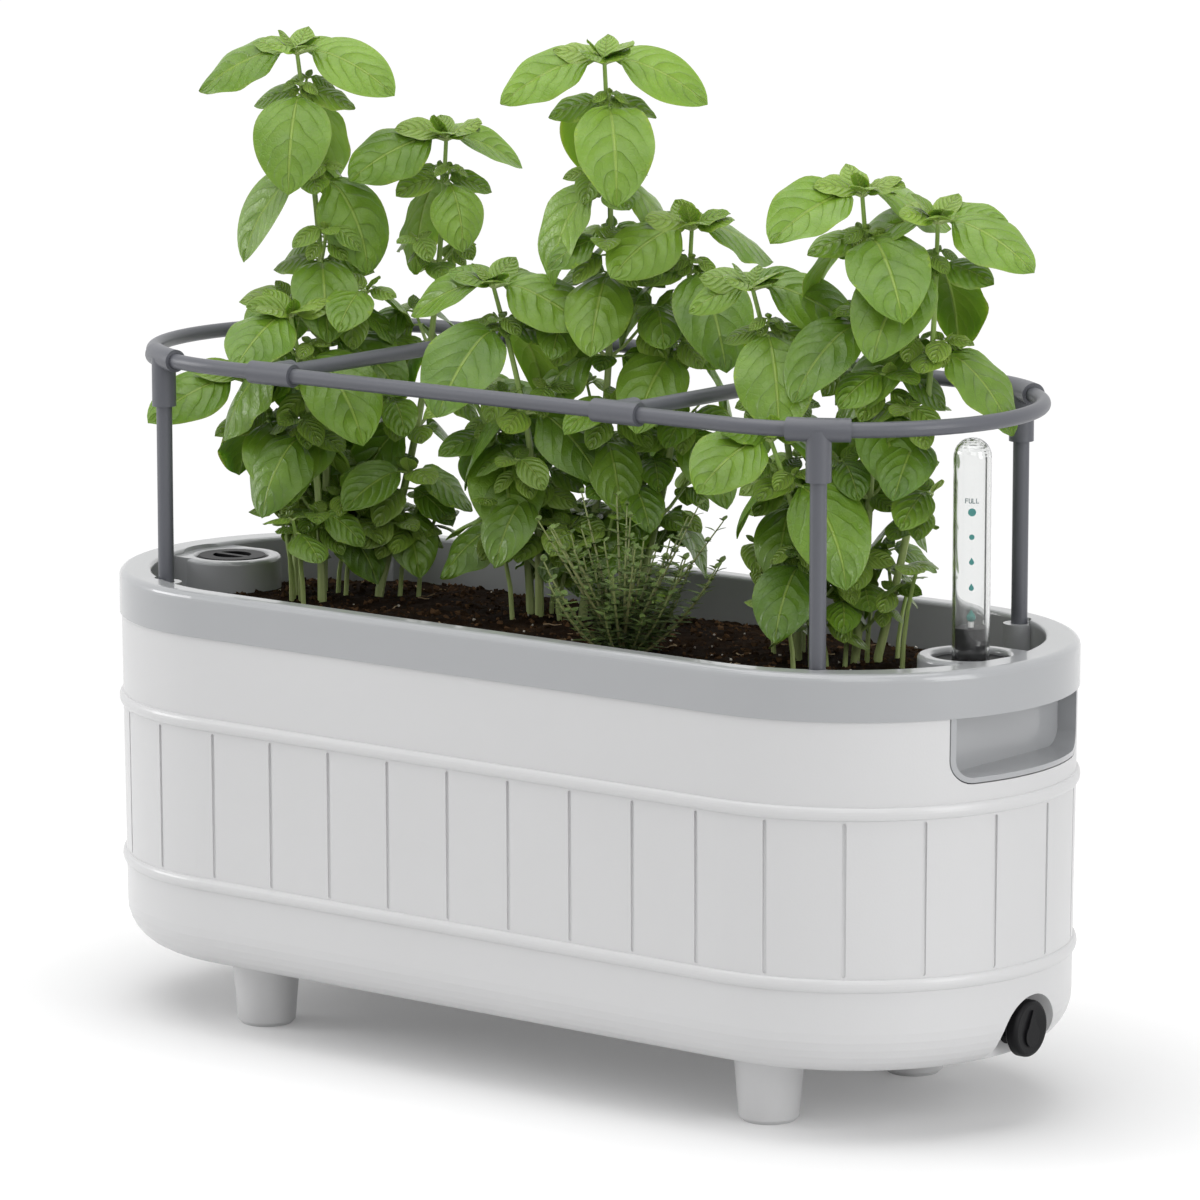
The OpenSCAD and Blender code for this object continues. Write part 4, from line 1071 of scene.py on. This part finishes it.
def make_thyme():
    plant = Builder()
    crown = Vector((THYME_X, THYME_Y, soil_at(THYME_Y)))
    for i in range(SPRIG_COUNT):
        tilt = INNER_TILT + (SPRIG_TILT - INNER_TILT) * math.sqrt(i / SPRIG_COUNT)
        length = SPRIG_LENGTH * between(1, 0.55, i)
        points = sprig_points(crown, GOLDEN_TURN * i, tilt, length, bend=0)
        add_sprig(plant, points, 60 + 17 * i, THYME_LEAF)
    for i in range(SHORT_SPRIGS):
        turn = GOLDEN_TURN * i + 70
        tilt = between(12, SPRIG_TILT + 4, i + 300)
        length = SPRIG_LENGTH * between(0.32, 0.74, i + 400)
        start = crown + heading(turn) * between(0, 7, i + 500)
        add_sprig(plant, sprig_points(start, turn, tilt, length, bend=0.35), 500 + 13 * i, THYME_LEAF * 1.1)
    piece = plant.make("thyme_bush", [thyme_top, thyme_under, thyme_stem], "tub")
    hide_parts("thyme")


make_thyme()


# Printed marks on the gauge, facing the photograph's camera

MARK_TURN = -55.4
# Start and end of a mark's thickness, out from the gauge's skin
MARK_FOOT, MARK_LIFT = 0.01, 0.12
FLOAT_TRAVEL = 49.5
# Rise of the full mark above the pointer's highest place, and of the word above that mark
FULL_RISE, WORD_RISE = 1.5, 4.4
PEN, LETTER_PITCH, LETTER_HALF = 0.4, 1.75, 0.55
DOT_SIDES = 24


def on_gauge(across, z, out):
    """Point on the gauge's skin: across it to the right, in millimetres, and out from it."""
    turn = MARK_TURN + math.degrees(across / gauge_r)
    return Vector((port_x, 0, z)) + heading(turn) * (gauge_r + out)


def add_mark(builder, outline, z):
    """A flat mark of a given outline, wrapped on the tube as a thin closed solid."""
    n = len(outline)
    inner = [on_gauge(a, z + b, MARK_FOOT) for a, b in outline]
    outer = [on_gauge(a, z + b, MARK_LIFT) for a, b in outline]
    faces = [tuple(reversed(range(n))), tuple(range(n, 2 * n))]
    faces += [(i, (i + 1) % n, n + (i + 1) % n, n + i) for i in range(n)]
    builder.solid(inner + outer, faces, 0, MIDDLE)


def on_circle(r, degrees):
    return r * math.cos(math.radians(degrees)), r * math.sin(math.radians(degrees))


def dot(r):
    return [on_circle(r, 360 * i / DOT_SIDES) for i in range(DOT_SIDES)]


def drop(r):
    """A round drop with a point above it."""
    return [on_circle(r, a) for a in range(-220, 41, 13)] + [(0, 2 * r)]


def stroke(points, width):
    """Outline of one straight pen stroke."""
    (x0, y0), (x1, y1) = points
    along = Vector((x1 - x0, y1 - y0)).normalized() * width / 2
    side = Vector((-along.y, along.x))
    corners = [(x0, y0, -1, -1), (x1, y1, 1, -1), (x1, y1, 1, 1), (x0, y0, -1, 1)]
    return [(x + along.x * a + side.x * b, y + along.y * a + side.y * b) for x, y, a, b in corners]


# Outline and radius of each mark, and its place below the full mark as a share of the float's travel
MARKS = ((dot, 1.9, 0), (dot, 1.3, 0.24), (drop, 1.2, 0.485), (drop, 1.2, 0.735))
LETTERS = {
    "F": [((0, 0), (0, 2)), ((0, 2), (1.1, 2)), ((0, 1.05), (0.9, 1.05))],
    "U": [((0, 2), (0, 0.4)), ((0, 0.4), (0.3, 0)), ((0.3, 0), (0.9, 0)), ((0.9, 0), (1.2, 0.4)),
          ((1.2, 0.4), (1.2, 2))],
    "L": [((0, 2), (0, 0)), ((0, 0), (1, 0))],
}


def make_marks():
    full_z = pointer_z + FLOAT_TRAVEL + FULL_RISE
    marks = Builder()
    for outline, r, share in MARKS:
        add_mark(marks, outline(r), full_z - share * FLOAT_TRAVEL)
    marks.make("gauge_dots", [mark_teal], "tub")
    word = Builder()
    for i, letter in enumerate("FULL"):
        start = (i - 1.5) * LETTER_PITCH - LETTER_HALF
        for line in LETTERS[letter]:
            shifted = [(start + x, y) for x, y in line]
            add_mark(word, stroke(shifted, PEN), full_z + WORD_RISE)
    word.make("gauge_full_word", [mark_grey], "tub")


make_marks()


# Stage: camera, floor, light. Lengths are in metres

# The camera's angle and place were solved from the staves, the rim, the ring and the feet
CAMERA_AZIMUTH, CAMERA_ELEVATION = 38.065, 9.873
CAMERA_PLACE = (1.9042, -2.4192, 0.7637)
CAMERA_SENSOR, CAMERA_LENS = 36, 188.247
# Half the length of the body's straight sides, and the radius of its ends
BODY_HALF, BODY_R = 0.164, 0.11
FLOOR_HALF = 6
# Distances from the body over which the floor turns white, and over which a painted glow lifts its shadow
WHITE_OUT, SHADOW_LIFT = (0.2, 0.6), (0, 0.22)
AMBIENT = 0.4
LIT_PLACE = Vector((0, 0, 0.2))
# Lamps: name, place, width, height, power
LAMPS = (
    ("top", (-0.1, -0.2, 2.2), 2.4, 2.4, 34),
    ("front", (1.8, -1.9, 1.7), 1.4, 1.4, 10),
    ("left", (-2.5, -1.3, 1.0), 1.2, 1.2, 25),
    ("right", (2.5, -0.1, 0.9), 1.0, 1.6, 20),
)


def aim(thing, direction):
    """Turn a camera or lamp to look along a direction."""
    thing.rotation_mode = "QUATERNION"
    thing.rotation_quaternion = direction.to_track_quat("-Z", "Y")


def make_camera():
    slope = math.radians(CAMERA_ELEVATION)
    back = heading(CAMERA_AZIMUTH - 90) * math.cos(slope) + Vector((0, 0, math.sin(slope)))
    data = bpy.data.cameras.new("camera")
    data.sensor_width, data.lens = CAMERA_SENSOR, CAMERA_LENS
    data.clip_start, data.clip_end = 0.1, 50
    camera = add_object("camera", data)
    camera.location = CAMERA_PLACE
    aim(camera, -back)
    bpy.context.scene.camera = camera


def from_body(n):
    """Distance over the floor from the planter's outline."""
    place = n.add("SeparateXYZ", Vector=n.place())
    past_end = n.math("MAXIMUM", n.math("SUBTRACT", n.math("ABSOLUTE", place.outputs["X"]), BODY_HALF), 0.0)
    across = n.times(place.outputs["Y"], place.outputs["Y"])
    off = n.math("SQRT", n.math("ADD", n.times(past_end, past_end), across))
    return n.math("SUBTRACT", off, BODY_R)


def seen_plainly(n):
    """Whether a ray comes from the camera, straight or by way of glass or gloss."""
    rays = n.add("LightPath")
    seen = n.math("MAXIMUM", rays.outputs["Is Camera Ray"], rays.outputs["Is Transmission Ray"])
    return n.math("MAXIMUM", seen, rays.outputs["Is Glossy Ray"])


def floor_paper():
    """Pale paper. Close to the object it keeps the shadow, and away from it it fades to plain white."""
    n = Nodes("floor_paper")
    off, seen = from_body(n), seen_plainly(n)
    paper = n.ramp(n.noise(scale=3), [(0.3, (0.82, 0.82, 0.82)), (0.7, (0.84, 0.84, 0.84))])
    white_out = n.times(n.range(off, WHITE_OUT, (0, 1)), seen)
    n.paint(Base_Color=n.mix(white_out, paper, (0, 0, 0)), Roughness=0.95, Specular_IOR_Level=0.1)
    # Painted light: a glow, seen only from the camera, that lightens the shadow more the further from the
    # body
    lift = n.times(n.range(off, SHADOW_LIFT, (0.09, 0.34)), n.math("SUBTRACT", seen, white_out))
    n.paint(Emission_Color=(1, 1, 1, 1), Emission_Strength=n.math("ADD", lift, white_out))
    return n.material


def make_floor():
    mesh = bpy.data.meshes.new("floor")
    corners = [(x * FLOOR_HALF, y * FLOOR_HALF, 0) for x, y in ((-1, -1), (1, -1), (1, 1), (-1, 1))]
    mesh.from_pydata(corners, [], [(0, 1, 2, 3)])
    mesh.materials.append(floor_paper())
    floor = add_object("floor", mesh)


def make_world():
    world = bpy.data.worlds.new("studio")
    bpy.context.scene.world = world
    n = Nodes(owner=world)
    n.paint(Strength=n.range(seen_plainly(n), (0, 1), (AMBIENT, 1)), Color=(1, 1, 1, 1))


def make_lamp(name, place, width, height, power):
    data = bpy.data.lights.new(name, "AREA")
    data.shape = "RECTANGLE"
    data.size, data.size_y = width, height
    data.energy = power
    lamp = add_object(name, data)
    lamp.location = place
    aim(lamp, LIT_PLACE - Vector(place))


bpy.context.scene.view_settings.view_transform = "Standard"
make_camera()
make_floor()
make_world()
for lamp in LAMPS:
    make_lamp(*lamp)
